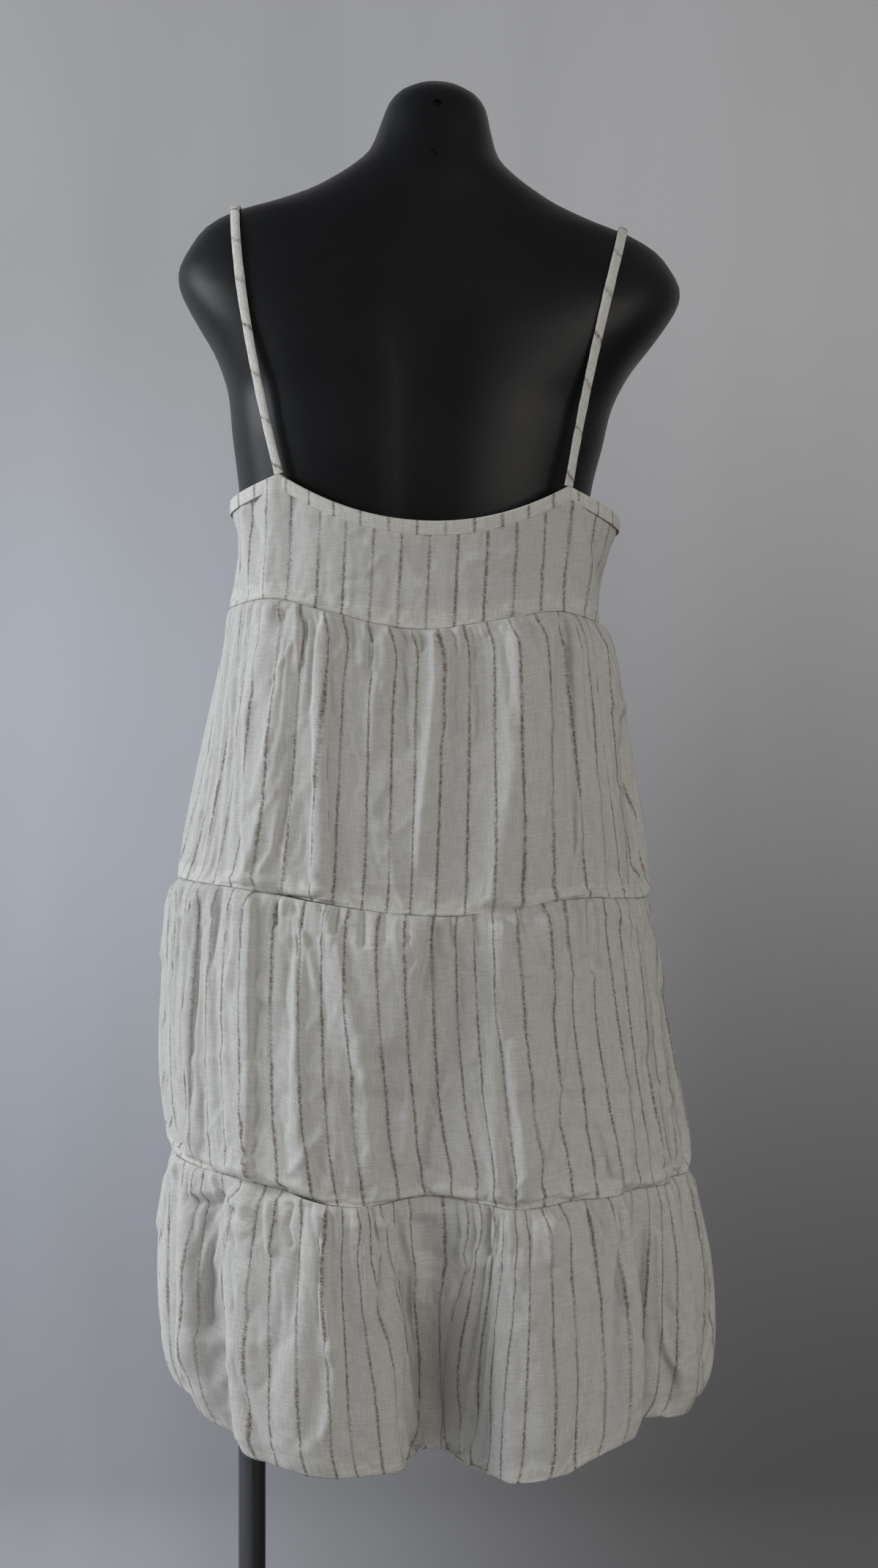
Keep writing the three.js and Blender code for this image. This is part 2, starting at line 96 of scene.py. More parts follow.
bpy.ops.object.camera_add(location=[c * MM for c in EYE], rotation=(math.pi / 2, 0, 0))
camera = bpy.context.object
camera.name = "camera"
camera.data.lens = LENS
camera.data.sensor_width = FILM
camera.data.clip_end = 50
bpy.context.scene.camera = camera
print("focal length in picture points:", round(FOCAL))

# %% [markdown]
# ## Sections
#
# A dress form and a skirt are both stacks of horizontal sections. Each row of a table
# gives one section: its height, half its width, how deep it is towards the back and the
# front, where its middle lies, and how square it is. A curve through the rows gives the
# sections in between. A loft in the viewport would do the same by eye.

# %% Sections of the form and the dress
# z, width, back, front, x, square
FORM = np.array([
    (705, 143, 86, 80, -18.5, 2.2), (713, 150, 94, 86, -18.5, 2.2), (760, 154, 103, 90, -18.5, 2.2),
    (820, 153, 106, 87, -18.4, 2.2), (880, 143, 92, 85, -16.7, 2.2), (940, 126, 75, 79, -14.9, 2.2),
    (1000, 115, 67, 77, -13.1, 2.2), (1060, 122, 72, 88, -11.3, 2.2),
    (1110, 132, 80, 108, -9.8, 2.2), (1150, 138, 86, 120, -8.6, 2.3),
    (1184, 143, 89, 117, -7.6, 2.4), (1210, 148, 90, 107, -5.8, 2.5),
    (1240, 153, 91, 94, -3.7, 2.6), (1257, 159, 91, 87, -2.5, 2.8), (1275, 168, 90, 81, -1.2, 3.0),
    (1297, 183, 88, 74, 0.5, 3.1), (1316, 195, 84, 68, 2, 3.0), (1328, 200, 81, 65, 3.4, 2.8),
    (1340, 200, 77, 62, 4.4, 2.7), (1356, 192, 71, 58, 4.8, 2.6), (1370, 181, 66, 55, 5.3, 2.5),
    (1382, 161, 62, 53, 5.8, 2.4), (1390, 137, 60, 52, 6.2, 2.3), (1402, 106, 58, 51, 6.6, 2.2),
    (1413, 86, 57, 51, 7, 2.1), (1426, 67, 55, 51, 7.3, 2), (1440, 52.5, 51, 50, 7.8, 2),
    (1465, 43.5, 45, 46, 9.3, 2), (1479, 39, 40, 41, 10.5, 2), (1489, 31, 32, 33, 11.2, 2),
    (1495.5, 19, 19, 20, 11.6, 2),
])
FORM_TOP = 1498.5
DRESS = np.array([
    (460, 208, 186, 194, 11, 2.1), (477, 218, 189, 197, 11, 2.1), (514, 223.5, 191, 199, 10, 2.1),
    (562, 222.5, 190, 198, 8.5, 2.1), (605, 215.5, 187, 194, 7, 2.1), (625, 210, 183, 190, 7, 2.1),
    (639, 206, 178, 186, 5, 2.1), (662, 210.5, 178, 186, 3, 2.1), (693, 210.5, 178, 185, -2.4, 2.1),
    (739, 206, 173, 181, -7, 2.1), (785, 200.5, 166, 176, -9.8, 2.1),
    (824, 195, 160, 171, -10.5, 2.1), (843, 191, 154, 166, -10.5, 2.1),
    (854, 187.5, 150, 162, -9, 2.1), (889, 186, 148, 161, -7, 2.1),
    (955, 174.5, 139, 155, -5.3, 2.2), (1020, 161.5, 123, 147, -4, 2.3),
    (1049, 155.5, 114, 143, -3, 2.3), (1070, 147.5, 107, 139, -7.5, 2.4),
    (1100, 145.5, 101, 139, -4.4, 2.5), (1130, 147.5, 98, 138, -0.5, 2.5),
    (1154, 154, 97, 134, 0.3, 2.4), (1195, 156, 97, 124, 0, 2.3),
])
TILT = 0.043
SHOULDER_TILT = 0.02


def smooth(t):
    u = np.clip(t, 0, 1)
    return u * u * (3 - 2 * u)


def bell(distance, width):
    return np.exp(-((distance / width) ** 2))


def sample(table, z):
    """A table's columns at heights z, one array for each column."""
    levels = table[:, 0]
    z = np.clip(z, levels[0], levels[-1])
    i = np.clip(np.searchsorted(levels, z, side="right") - 1, 0, len(levels) - 2)
    a, b, c, d = (table[np.clip(i + k, 0, len(levels) - 1)] for k in (-1, 0, 1, 2))
    span = (c - b)[..., :1]
    t = (np.asarray(z)[..., None] - b[..., :1]) / span
    slope_in = (c - a) / (c - a)[..., :1] * span
    slope_out = (d - b) / (d - b)[..., :1] * span
    rise = c - b
    bend = t * (slope_in + slope_out - 2 * rise) + 3 * rise - 2 * slope_in - slope_out
    return np.moveaxis(b + t * (slope_in + t * bend), -1, 0)


def on_section(row, angle):
    """Points of a section: angle 0 is the back's middle and 90 the side at +X."""
    _, width, back, front, _, square = row
    s, c = np.sin(np.radians(angle)), np.cos(np.radians(angle))
    x = width * np.sign(s) * np.abs(s) ** (2 / square)
    y = -np.where(c > 0, back, front) * np.sign(c) * np.abs(c) ** (2 / square)
    return x, y


def form_tilt(z):
    return TILT * smooth((z - FORM[0, 0]) / 250) + SHOULDER_TILT * smooth((z - 1340) / 50)


def off_form(x, y, z):
    """How far points lie outside the form, and the direction away from it."""

    def value(x, y, z):
        upright = z + form_tilt(z) * x
        _, width, back, front, middle, square = sample(FORM, upright)
        depth = np.where(y < 0, back, front)
        across = (np.abs(x - middle) / width) ** square
        return (across + (np.abs(y) / depth) ** square) ** (1 / square) - 1

    step = 0.5
    away = np.stack([
        value(x + step, y, z) - value(x - step, y, z),
        value(x, y + step, z) - value(x, y - step, z),
        value(x, y, z + step) - value(x, y, z - step),
    ]) / (2 * step)
    steepness = np.linalg.norm(away, axis=0)
    return value(x, y, z) / steepness, away / steepness


print("form sections:", len(FORM), "dress sections:", len(DRESS))

# %% [markdown]
# ## Large folds
#
# A hanging skirt falls into a few deep folds. Each one here pushes the cloth inwards by
# its depth, has a flat floor and two flanks, starts at one height and is full at another.
# They are the same as the frame's, so the fine cloth lies where the plain cloth does.

# %% Folds shared with the frame
# angle, flat, depth, left, right, from, to, drift
FOLDS = [
    (0, 8, 74, 1.7, 6, 650, 480, 0), (0, 8, 28, 9, 6, 640, 500, 0),
    (-2, 0, 26, 12, 14, 845, 690, 10), (49, 2, 44, 2.8, 7, 690, 520, 10),
    (-46, 1, 34, 6, 4, 660, 520, 0), (-68, 0, 14, 5, 5, 640, 500, 0),
    (66, 0, 12, 5, 6, 830, 600, 25), (-30, 0, 7, 5, 7, 1000, 880, -10),
    (30, 0, 8, 6, 6, 820, 700, 8), (114, 0, 22, 7, 7, 830, 560, 10),
    (137, 1, 40, 7, 6, 700, 500, 0), (170, 3, 60, 6, 8, 650, 480, 0),
    (182, 0, 16, 12, 12, 850, 700, 0), (206, 0, 30, 8, 6, 720, 520, 0),
    (236, 1, 38, 6, 8, 660, 500, 0), (255, 0, 16, 7, 7, 830, 600, 0),
]


def fold_depth(angle, z):
    depth = 0
    for place, flat, deep, left, right, high, low, drift in FOLDS:
        turn = angle - (place + drift * (high - z) / 1000)
        turn = turn - 360 * np.round(turn / 360)
        beside = np.maximum(0, np.abs(turn) - flat)
        depth = depth + deep * bell(beside, np.where(turn < 0, left, right)) * smooth(
            (high - z) / (high - low)
        )
    return depth


def on_dress(angle, level):
    """A place on the dress and the horizontal direction out of it."""
    row = sample(DRESS, level)
    x, y = on_section(row, angle)
    depth = np.where(y < 0, row[2], row[3])
    nx, ny = x / row[1] ** 2, y / depth**2
    size = np.hypot(nx, ny)
    inward = fold_depth(angle, level)
    return row[4] + x - nx / size * inward, y - ny / size * inward


print("folds:", len(FOLDS))

# %% [markdown]
# ## Seams and edges
#
# The seams dip towards the middle of the back, and the whole dress hangs a little lower
# to the right. The bodice's top edge has a point under each strap.

# %% Heights of the seams and the top edge
# level, x, dip, width, power, lift, dip in front
BODICE_SEAM = (1068, -7, 15, 60, 2, 6, 4)
UPPER_SEAM = (854, -9, 15, 105, 2, 0, 4)
LOWER_SEAM = (639, 5, 15, 130, 2, 0, 5)
HEM = (460, -14, 33, 150, 5, 0, 30)
UNDERARM = 1154
# middle, point, x of the point, curve
BACK_TOP = (1136, 1170, 112, 2.1)
FRONT_TOP = (1138, 1190, 98, 1.5)
# Folds lift and lower the sewn-on cloth a little: x, lift, width of each place.
WAVES = {
    UPPER_SEAM: [(118, 4, 45), (20, -1.5, 30)],
    LOWER_SEAM: [(10, 8, 36), (-62, -4, 36), (72, -1.5, 20)],
}


def seam_height(seam, x, front):
    level, middle, dip, width, power, lift, front_dip = seam
    across = np.abs(x - middle)
    fall = (front_dip if front else dip) * np.exp(-((across / width) ** power))
    for place, wave, wide in [] if front else WAVES.get(seam, []):
        fall = fall - wave * bell(x - place, wide)
    return level - fall + lift * bell(across - BACK_TOP[2], 28) - TILT * x


def top_height(x, front):
    middle, point, point_x, curve = FRONT_TOP if front else BACK_TOP
    across = np.abs(x)
    widest = sample(DRESS, np.array(UNDERARM))[1]
    inside = middle + (point - middle) * np.minimum(1, across / point_x) ** curve
    outside = point + (UNDERARM - point) * np.clip((across - point_x) / (widest - point_x), 0, 1)
    return np.where(across <= point_x, inside, outside) - TILT * x


print("bodice top edge at the middle:", float(top_height(0, False)))

# %% [markdown]
# ## Drawing folds over the large ones
#
# Between the large folds, the photographed cloth has ridges, pinched valleys and sharp
# steps of its own. Each is drawn as a line in the picture, from its top to its lower end,
# with how far it stands out in mm (less than 0 is a valley), and how wide it is to its
# left and right in picture points, or above and below if it lies flat. A narrow side
# makes a sharp step, as where one fold lies on the next. Noise alone would put folds in
# places where this dress has none. Tier 0 is the bodice.

# %% Ridges and valleys of the back
# for each tier: height, left, right, and then x and y of each point of the line
RIDGES = {
    0: [
        (3, 10, 14, 374, 640, 371, 700, 367, 800), (-2.5, 6, 5, 352, 668, 342, 700, 354, 735),
        (2, 6, 7, 333, 700, 338, 760, 346, 800), (-2, 12, 16, 400, 672, 404, 720, 398, 800),
        (3, 16, 5, 788, 690, 800, 750, 812, 810, 816, 850), (-3, 5, 5, 815, 745, 822, 795, 818, 835),
        (-2, 14, 12, 760, 680, 768, 740, 770, 800), (1.2, 5, 7, 505, 742, 550, 748),
        (-1.2, 5, 6, 470, 795, 512, 787), (-1.6, 5, 6, 690, 786, 745, 781),
        (1.0, 6, 9, 640, 765, 700, 752), (1.0, 7, 8, 560, 800, 640, 806),
    ],
    1: [
        (9, 34, 90, 386, 828, 372, 920, 356, 1110, 348, 1215),
        (7, 50, 50, 722, 870, 718, 1000, 712, 1200), (3, 8, 10, 372, 822, 352, 900, 330, 1000),
        (2.5, 5, 4, 405, 835, 408, 905), (-3, 16, 22, 418, 850, 402, 980, 385, 1180),
        (4.5, 4, 26, 445, 842, 437, 870, 434, 930, 433, 1010, 435, 1080, 430, 1210),
        (-2.5, 5, 8, 480, 856, 484, 900), (2.5, 12, 3, 500, 858, 498, 905),
        (4, 9, 13, 530, 862, 520, 910, 512, 950, 508, 1010), (-4, 13, 13, 545, 870, 552, 940, 556, 1010),
        (3, 3, 3, 567, 860, 568, 885), (6, 7, 22, 592, 866, 594, 930, 584, 1030, 572, 1150),
        (-2, 3, 4, 600, 860, 603, 890), (-3, 10, 10, 616, 866, 614, 930, 610, 990),
        (2, 3, 3, 626, 860, 630, 885), (-4, 15, 14, 646, 868, 650, 930, 652, 1000),
        (7, 14, 30, 700, 850, 697, 950, 700, 1040, 682, 1150, 672, 1230), (-3, 3, 4, 722, 842, 727, 872),
        (2, 15, 12, 738, 842, 745, 920, 748, 1050), (2.5, 3, 3, 755, 838, 758, 862),
        (-5, 12, 8, 772, 845, 778, 950, 785, 1150), (4, 7, 12, 785, 846, 798, 950, 812, 1150, 815, 1210),
        (3, 8, 8, 822, 850, 840, 940, 850, 1000), (-5, 6, 5, 850, 985, 860, 1080, 868, 1200),
        (1.5, 6, 6, 838, 962, 850, 968), (1.0, 5, 7, 440, 1120, 520, 1138),
        (-1.0, 5, 6, 600, 1050, 655, 1060), (1.0, 5, 6, 700, 1120, 770, 1108),
    ],
    2: [
        (8, 30, 100, 352, 1230, 345, 1340, 340, 1460, 334, 1600),
        (7, 46, 60, 718, 1255, 716, 1400, 722, 1600),
        (3.5, 8, 8, 258, 1203, 240, 1222, 229, 1245, 222, 1300),
        (5, 3, 12, 281, 1207, 263, 1238, 254, 1280, 253, 1330, 257, 1400, 262, 1590),
        (-4, 6, 4, 250, 1262, 246, 1300, 249, 1400, 252, 1560),
        (-3.5, 6, 4, 302, 1208, 299, 1245, 290, 1310), (3, 3, 7, 325, 1212, 322, 1290, 312, 1340),
        (4.5, 14, 4, 346, 1216, 345, 1260, 341, 1340, 342, 1460, 338, 1600),
        (-4, 4, 4, 377, 1222, 376, 1262), (2, 4, 4, 388, 1228, 386, 1245),
        (-3, 5, 5, 399, 1226, 405, 1255, 405, 1300), (2.5, 8, 4, 404, 1258, 424, 1300, 434, 1345),
        (2, 9, 9, 440, 1378, 420, 1400, 404, 1450), (-3, 4, 5, 436, 1234, 438, 1275),
        (4.5, 16, 12, 450, 1250, 468, 1320, 480, 1380, 492, 1430, 505, 1560),
        (-3, 4, 4, 463, 1240, 458, 1272), (-4, 5, 6, 497, 1243, 495, 1290),
        (-3, 5, 5, 527, 1246, 526, 1285), (6, 55, 3, 585, 1253, 578, 1290, 567, 1340, 563, 1420),
        (-4, 5, 14, 589, 1275, 585, 1310, 575, 1350), (-3, 5, 5, 614, 1250, 617, 1290),
        (-4, 9, 7, 647, 1248, 652, 1290), (6, 10, 14, 680, 1262, 676, 1340, 674, 1460, 680, 1600),
        (-3, 5, 3, 711, 1245, 717, 1272), (6, 10, 16, 700, 1420, 712, 1520, 716, 1620),
        (4, 8, 8, 743, 1240, 750, 1290, 752, 1360), (-3, 5, 4, 768, 1240, 774, 1300),
        (3.5, 5, 5, 789, 1234, 794, 1256, 796, 1300), (-5, 6, 8, 810, 1232, 807, 1262, 812, 1320),
        (2, 5, 5, 836, 1240, 850, 1265), (4.5, 10, 6, 852, 1242, 866, 1285, 872, 1360, 880, 1420),
        (4, 7, 6, 866, 1236, 890, 1290, 902, 1340), (3, 8, 4, 896, 1370, 905, 1440, 915, 1500),
        (2, 8, 8, 440, 1550, 420, 1575, 400, 1600), (3, 6, 6, 820, 1540, 838, 1600),
        (1.2, 3, 5, 343, 1362, 392, 1366), (-1.2, 4, 4, 345, 1445, 382, 1459),
        (1.4, 3, 6, 765, 1486, 815, 1482, 860, 1486), (-1.3, 4, 5, 765, 1539, 830, 1544),
        (1.2, 4, 6, 713, 1328, 805, 1333), (-1.2, 5, 6, 590, 1470, 650, 1462),
        (1.0, 5, 6, 450, 1470, 520, 1482), (1.0, 5, 6, 270, 1450, 320, 1438),
        (7, 40, 95, 500, 1280, 500, 1460),
    ],
    3: [
        (6, 34, 2.5, 530, 1672, 537, 1720, 541, 1800, 544, 1990),
        (9, 26, 100, 346, 1640, 350, 1800, 358, 1990), (15, 86, 40, 640, 1720, 642, 2000),
        (-8, 30, 44, 575, 1668, 580, 1725), (-13, 30, 26, 285, 1640, 290, 1740, 292, 1800),
        (6, 48, 60, 726, 1670, 724, 1850, 722, 2010), (3, 6, 8, 246, 1585, 230, 1610, 220, 1670),
        (5.5, 4, 14, 262, 1602, 254, 1650, 251, 1720, 252, 1790, 250, 1850),
        (2.5, 4, 4, 292, 1612, 298, 1635),
        (7, 6, 20, 322, 1632, 312, 1690, 318, 1750, 324, 1860, 325, 1920, 338, 1990),
        (-3, 4, 4, 330, 1634, 326, 1660), (4, 3, 10, 365, 1646, 368, 1705),
        (-3.5, 5, 4, 398, 1650, 392, 1675, 399, 1700), (-3, 6, 4, 425, 1652, 429, 1680, 438, 1705),
        (5.5, 22, 3, 444, 1660, 443, 1700, 448, 1780, 456, 1840),
        (3, 12, 14, 456, 1840, 460, 1890, 448, 1950), (2, 5, 5, 457, 1655, 465, 1705),
        (3.5, 10, 8, 487, 1655, 496, 1710, 500, 1800), (-3, 4, 4, 508, 1650, 509, 1690),
        (-1.5, 8, 8, 404, 1824, 372, 1838), (-3, 5, 4, 624, 1648, 628, 1690),
        (-2, 5, 5, 645, 1652, 650, 1700), (-4, 5, 3, 668, 1654, 668, 1710),
        (4, 12, 12, 690, 1660, 712, 1740, 712, 1900, 712, 2010), (-2, 4, 4, 725, 1660, 724, 1720),
        (4, 10, 3, 755, 1660, 755, 1725), (3, 8, 3, 772, 1660, 779, 1735),
        (-3, 5, 5, 803, 1650, 806, 1700), (3, 12, 4, 828, 1646, 842, 1700, 858, 1770),
        (4, 6, 8, 895, 1690, 898, 1790, 908, 1845, 930, 1875), (2, 8, 6, 918, 1660, 925, 1740),
        (-2, 8, 8, 905, 1780, 925, 1800, 950, 1815), (2, 6, 6, 912, 1840, 930, 1850, 945, 1880),
        (1.5, 8, 8, 820, 1900, 850, 1870),
    ],
}
# a fold with a side narrower than this, in picture points, is laid after the cloth settles
NARROW = 9


def drawn_relief(tier, across, down, narrow):
    """How far the drawn folds push points that are seen there, in mm."""
    total = np.zeros_like(across)
    for height, left, right, *line in RIDGES[tier]:
        if narrow != (min(left, right) < NARROW):
            continue
        xs, ys = np.array(line[::2], float), np.array(line[1::2], float)
        sideways, lengthwise = across, down
        lying = np.ptp(xs) > np.ptp(ys)
        if lying:
            xs, ys = ys, xs
            sideways, lengthwise = down, across
        order = np.argsort(ys)
        beside = sideways - np.interp(lengthwise, ys[order], xs[order])
        low, high = ys.min(), ys.max()
        fade = max(10.0, 0.2 * (high - low))
        start = fade if lying else 12
        along = smooth((lengthwise - low + start) / start)
        along = along * smooth((high + fade - lengthwise) / fade)
        reach = np.where(beside < 0, left, right)
        total += height * np.exp(-(np.abs(beside / reach) ** (2 if height > 0 else 1.5))) * along
    return total


print("drawn ridges and valleys:", sum(len(rows) for rows in RIDGES.values()))

# %% [markdown]
# ## Small gathers and crumple
#
# Where a wide strip is sewn to a narrower one, the spare cloth stands in uneven gathers:
# rounded ridges between pinched valleys, some long and some short. And worn linen is
# never flat: it keeps soft dents everywhere. Both come from seeded random numbers, so
# each run gives the same dress.

# %% Gathers and dents
# gathers of half a tier, height, reach, how strong they are at the back
TIERS = [
    (20, 3.6, 45, 0.45),
    (22, 4.0, 50, 0.45),
    (24, 4.2, 48, 0.45),
]


def gathers(u, below, count, height, reach, seed):
    """Ridges at shares u of the strip's width, and below mm under its seam."""
    random = np.random.default_rng(seed)
    edges = np.concatenate([[0], np.cumsum(random.uniform(0.45, 1.6, count))])
    edges /= edges[-1]
    tall = height * random.uniform(0.45, 1.35, count)
    far = reach * random.uniform(0.35, 2.0, count)
    wander = random.uniform(-0.5, 0.5, (2, count))
    drift = 0.4 / count * smooth(below / 90)
    u = u + drift * np.sin(u * 23 + seed) + drift * np.sin(u * 9 + below / 60)
    u = np.clip(u, 0, 0.999999)
    k = np.searchsorted(edges, u, side="right") - 1
    t = (u - edges[k]) / (edges[k + 1] - edges[k])
    t = np.clip(t + 0.12 * wander[0][k] * np.sin(math.pi * t) * smooth(below / 40), 0, 1)
    ridge = np.sin(math.pi * t) ** 0.85 - 0.55
    fade = np.exp(-below / far[k]) * (0.35 + 0.65 * smooth(below / 9))
    ends = np.minimum(1, np.minimum(u, 1 - u) * count * 0.8)
    return tall[k] * ridge * fade * ends


def lattice(x, y, seed):
    """Smooth noise between -1 and 1 with a cell of size 1."""
    table = np.random.default_rng(seed).uniform(-1, 1, (97, 89))
    i, j = np.floor(x).astype(int), np.floor(y).astype(int)
    s, t = smooth(x - i), smooth(y - j)

    def at(a, b):
        return table[(i + a) % 97, (j + b) % 89]

    low = at(0, 0) * (1 - s) + at(1, 0) * s
    high = at(0, 1) * (1 - s) + at(1, 1) * s
    return low * (1 - t) + high * t


def crumple(across, down, seed):
    """Soft dents and faint sharp creases of worn linen, in mm."""
    turned = 0.8 * across + 0.6 * down
    other = 0.8 * down - 0.6 * across
    dents = 0.9 * lattice(across / 38, down / 70, seed)
    dents += 0.35 * lattice(across / 13, down / 22, seed + 1)
    crease = np.abs(lattice(turned / 27, other / 46, seed + 2))
    crease2 = np.abs(lattice(other / 31, turned / 60, seed + 3))
    return dents + 0.6 * np.minimum(crease, 0.3) / 0.3 + 0.5 * np.minimum(crease2, 0.2) / 0.2 - 0.5


def creases(across, down, seed):
    """Fine sharp creases in some places, and the grain of the cloth, in mm."""
    total = 0.16 * lattice(across / 6, down / 9, seed)
    for k, (turn, strength) in enumerate([(0.5, 0.5), (-0.9, 0.55), (1.35, 0.5), (-0.2, 0.4)]):
        along = across * math.cos(turn) + down * math.sin(turn) + 700
        beside = down * math.cos(turn) - across * math.sin(turn) + 700
        line = lattice(along / 44, beside / 26, seed + 5 * k)
        place = lattice(across / 30 + 3 * k, down / 34, seed + 5 * k + 1)
        total += strength * bell(line, 0.13) * smooth((place - 0.1) * 3) * (1 if k % 2 else -1)
    return total


print("gathers of the widest tier, both halves:", 2 * TIERS[2][0])

# %% [markdown]
# ## Turning a grid into cloth
#
# A strip of cloth is a grid: its columns are lengthwise threads and its rows are
# crosswise threads. Every piece of the dress starts as Blender's grid primitive, and its
# points are then laid on the folded surface. The spare width has to go somewhere, so each
# row is laid out by its own length along the folds: threads stay evenly spaced, and the
# stripes crowd together in folds as real ones do. The UV map holds the flat cloth in
# metres, so patterns keep their size.

# %% Cloth helpers
SEAM_GAP = 0.4
CLOTH_WALL = 0.75
# points along half of a section, before the threads are counted off
FINE = 1801


def start_grid(node, columns, rows):
    """Blender's grid, and the column and the row of each of its points."""
    bpy.ops.mesh.primitive_grid_add(x_subdivisions=columns, y_subdivisions=rows, size=1)
    obj = bpy.context.object
    obj.name = obj.data.name = "linen_" + node
    places = np.empty(len(obj.data.vertices) * 3)
    obj.data.vertices.foreach_get("co", places)
    places = places.reshape(-1, 3)
    i = np.round((places[:, 0] + 0.5) * columns).astype(int)
    j = np.round((0.5 - places[:, 1]) * rows).astype(int)
    return obj, i, j


def lay_points(obj, x, y, z):
    """Puts the points, given in mm, in their places."""
    places = np.stack([x, y, z], axis=1) * MM
    obj.data.vertices.foreach_set("co", places.astype(np.float32).ravel())
    obj.data.update()


def lay_uv(obj, across, down):
    """Gives each point its place on the flat cloth, in mm."""
    corners = np.empty(len(obj.data.loops), dtype=int)
    obj.data.loops.foreach_get("vertex_index", corners)
    flat = np.stack([across[corners], down[corners]], axis=1) * MM
    obj.data.uv_layers[0].data.foreach_set("uv", flat.astype(np.float32).ravel())


def lay_cloth(name, places, flat, near, double):
    """A grid laid on rows of points, with their places on the flat cloth, all in mm.

    near says how much painted shade the dark form gives where it shows through the sheer cloth, and
    double is 1 where more cloth lies behind."""
    obj, i, j = start_grid(name, places[0].shape[1] - 1, places[0].shape[0] - 1)
    lay_points(obj, *(part[j, i] for part in places))
    lay_uv(obj, *(part[j, i] for part in flat))
    for layer, values in (("near", near), ("double", double)):
        values = np.broadcast_to(values, places[0].shape)[j, i].astype(np.float32)
        obj.data.attributes.new(layer, "FLOAT", "POINT").data.foreach_set("value", values)
    return obj


def settle(obj, material, node):
    """Gives a finished piece its material and its body, and hides the node it stands for."""
    obj.data.materials.clear()
    obj.data.materials.append(material)
    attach(obj, "root")
    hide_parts(node)
    obj.select_set(False)
    print(obj.name, "has", len(obj.data.polygons), "faces")


def make_cloth(name, places, flat, near, double, material, thickness=CLOTH_WALL):
    """A finished piece of linen with a wall."""
    obj = lay_cloth(name, places, flat, near, double)
    bpy.context.view_layer.objects.active = obj
    wall = obj.modifiers.new("wall", "SOLIDIFY")
    wall.thickness = thickness * MM
    wall.offset = 0
    wall.use_even_offset = False
    bpy.ops.object.modifier_apply(modifier="wall")
    bpy.ops.object.shade_smooth()
    settle(obj, material, name)
    return obj


def close_mesh(merge=None):
    """Fills the open ends of the active piece and turns its faces outwards."""
    bpy.ops.object.mode_set(mode="EDIT")
    bpy.ops.mesh.select_all(action="SELECT")
    if merge:
        bpy.ops.mesh.remove_doubles(threshold=merge)
    bpy.ops.mesh.select_all(action="DESELECT")
    bpy.ops.mesh.select_non_manifold()
    bpy.ops.mesh.fill_holes(sides=0)
    bpy.ops.mesh.select_all(action="SELECT")
    bpy.ops.mesh.normals_make_consistent(inside=False)
    bpy.ops.object.mode_set(mode="OBJECT")


def row_shares(rows):
    """Shares of a strip's height, closer together near both seams."""
    t = np.linspace(0, 1, rows + 1)
    return t - 0.45 * np.sin(2 * math.pi * t) / (2 * math.pi)


def spread(values, width, axis=0):
    """Values averaged with their neighbours on both sides."""
    window = np.hanning(2 * width + 1)[1:-1]
    count = len(window) // 2
    padded = np.concatenate([
        np.repeat(values.take([0], axis), count, axis), values,
        np.repeat(values.take([-1], axis), count, axis),
    ], axis)
    average = lambda line: np.convolve(line, window / window.sum(), mode="valid")
    return np.apply_along_axis(average, axis, padded)


def shares_along(steps):
    length = np.concatenate([np.zeros_like(steps[..., :1]), np.cumsum(steps, -1)], -1)
    return length / length[..., -1:]


def laid_rows(front, levels, shares, relief, height_at, columns):
    """Rows of cloth on the folded surface: x, y and z arrays of every row.

    The threads hang straight down. How much cloth there is at each place is the mean
    of all rows, and lower rows count more. Within 30 mm or so, a row's own folds draw
    the threads together.
    relief(x, y, z, u, v) says how far the cloth stands out of the large folds."""
    angle = np.linspace(-90, 90, FINE) + (180 if front else 0)
    bare = [on_dress(angle, np.full(FINE, levels[0] + (levels[1] - levels[0]) * v)) for v in shares]
    x, y = (np.array(part) for part in zip(*bare))
    weights = shares[:, None] + 0.02
    steps = np.hypot(np.diff(x), np.diff(y))
    usual = shares_along((steps * weights).sum(0))
    for r, v in enumerate(shares):
        tx, ty = np.gradient(x[r]), np.gradient(y[r])
        size = np.hypot(tx, ty)
        out = relief(x[r], y[r], height_at(x[r], v), usual, v)
        x[r] += ty / size * out
        y[r] -= tx / size * out
    own = shares_along(spread(np.hypot(np.diff(x), np.diff(y)), 6))
    change = own - usual
    placed = usual + change - spread(change, 110, axis=1)
    placed = np.maximum.accumulate(np.clip(placed, 0, 1), axis=1)
    placed[:, 0], placed[:, -1] = 0, 1
    even = np.linspace(0, 1, columns + 1)
    x, y = (
        np.array([np.interp(even, placed[r], part[r]) for r in range(len(shares))])
        for part in (x, y)
    )
    z = height_at(x, shares[:, None])
    y += (1 if front else -1) * SEAM_GAP / 2
    return x, y, z


def outward(x, y):
    """The horizontal direction out of rows of cloth."""
    tx, ty = np.gradient(x, axis=1), np.gradient(y, axis=1)
    size = np.hypot(tx, ty)
    return ty / size, -tx / size


def keep_off_form(x, y, z, clear=1.6):
    """Moves points out that would touch the form, and says how near they are."""
    gap, away = off_form(x, y, z)
    push = np.maximum(0, clear - gap)
    return x + away[0] * push, y + away[1] * push, z, np.maximum(gap, clear)


# where the stripes are seen, tier by tier: how far down the picture, and how far across
STRIPES = {
    0: (750, [320, 346, 398, 437, 472, 510, 548, 587, 626, 666, 706, 745, 780, 811]),
    1: (1050, [287, 310, 336, 364, 403, 434, 464, 503, 535, 567, 602, 641, 677, 714, 754,
               788, 815, 842]),
    2: (1450, [233, 253, 281, 327, 370, 407, 441, 478, 523, 559, 596, 630, 657, 687, 723,
               762, 789, 820, 850, 886, 914]),
    3: (1800, [230, 249, 270, 304, 337, 367, 405, 443, 470, 499, 522, 568, 601, 635, 662,
               699, 723, 756, 785, 822, 857, 884, 905, 925]),
}


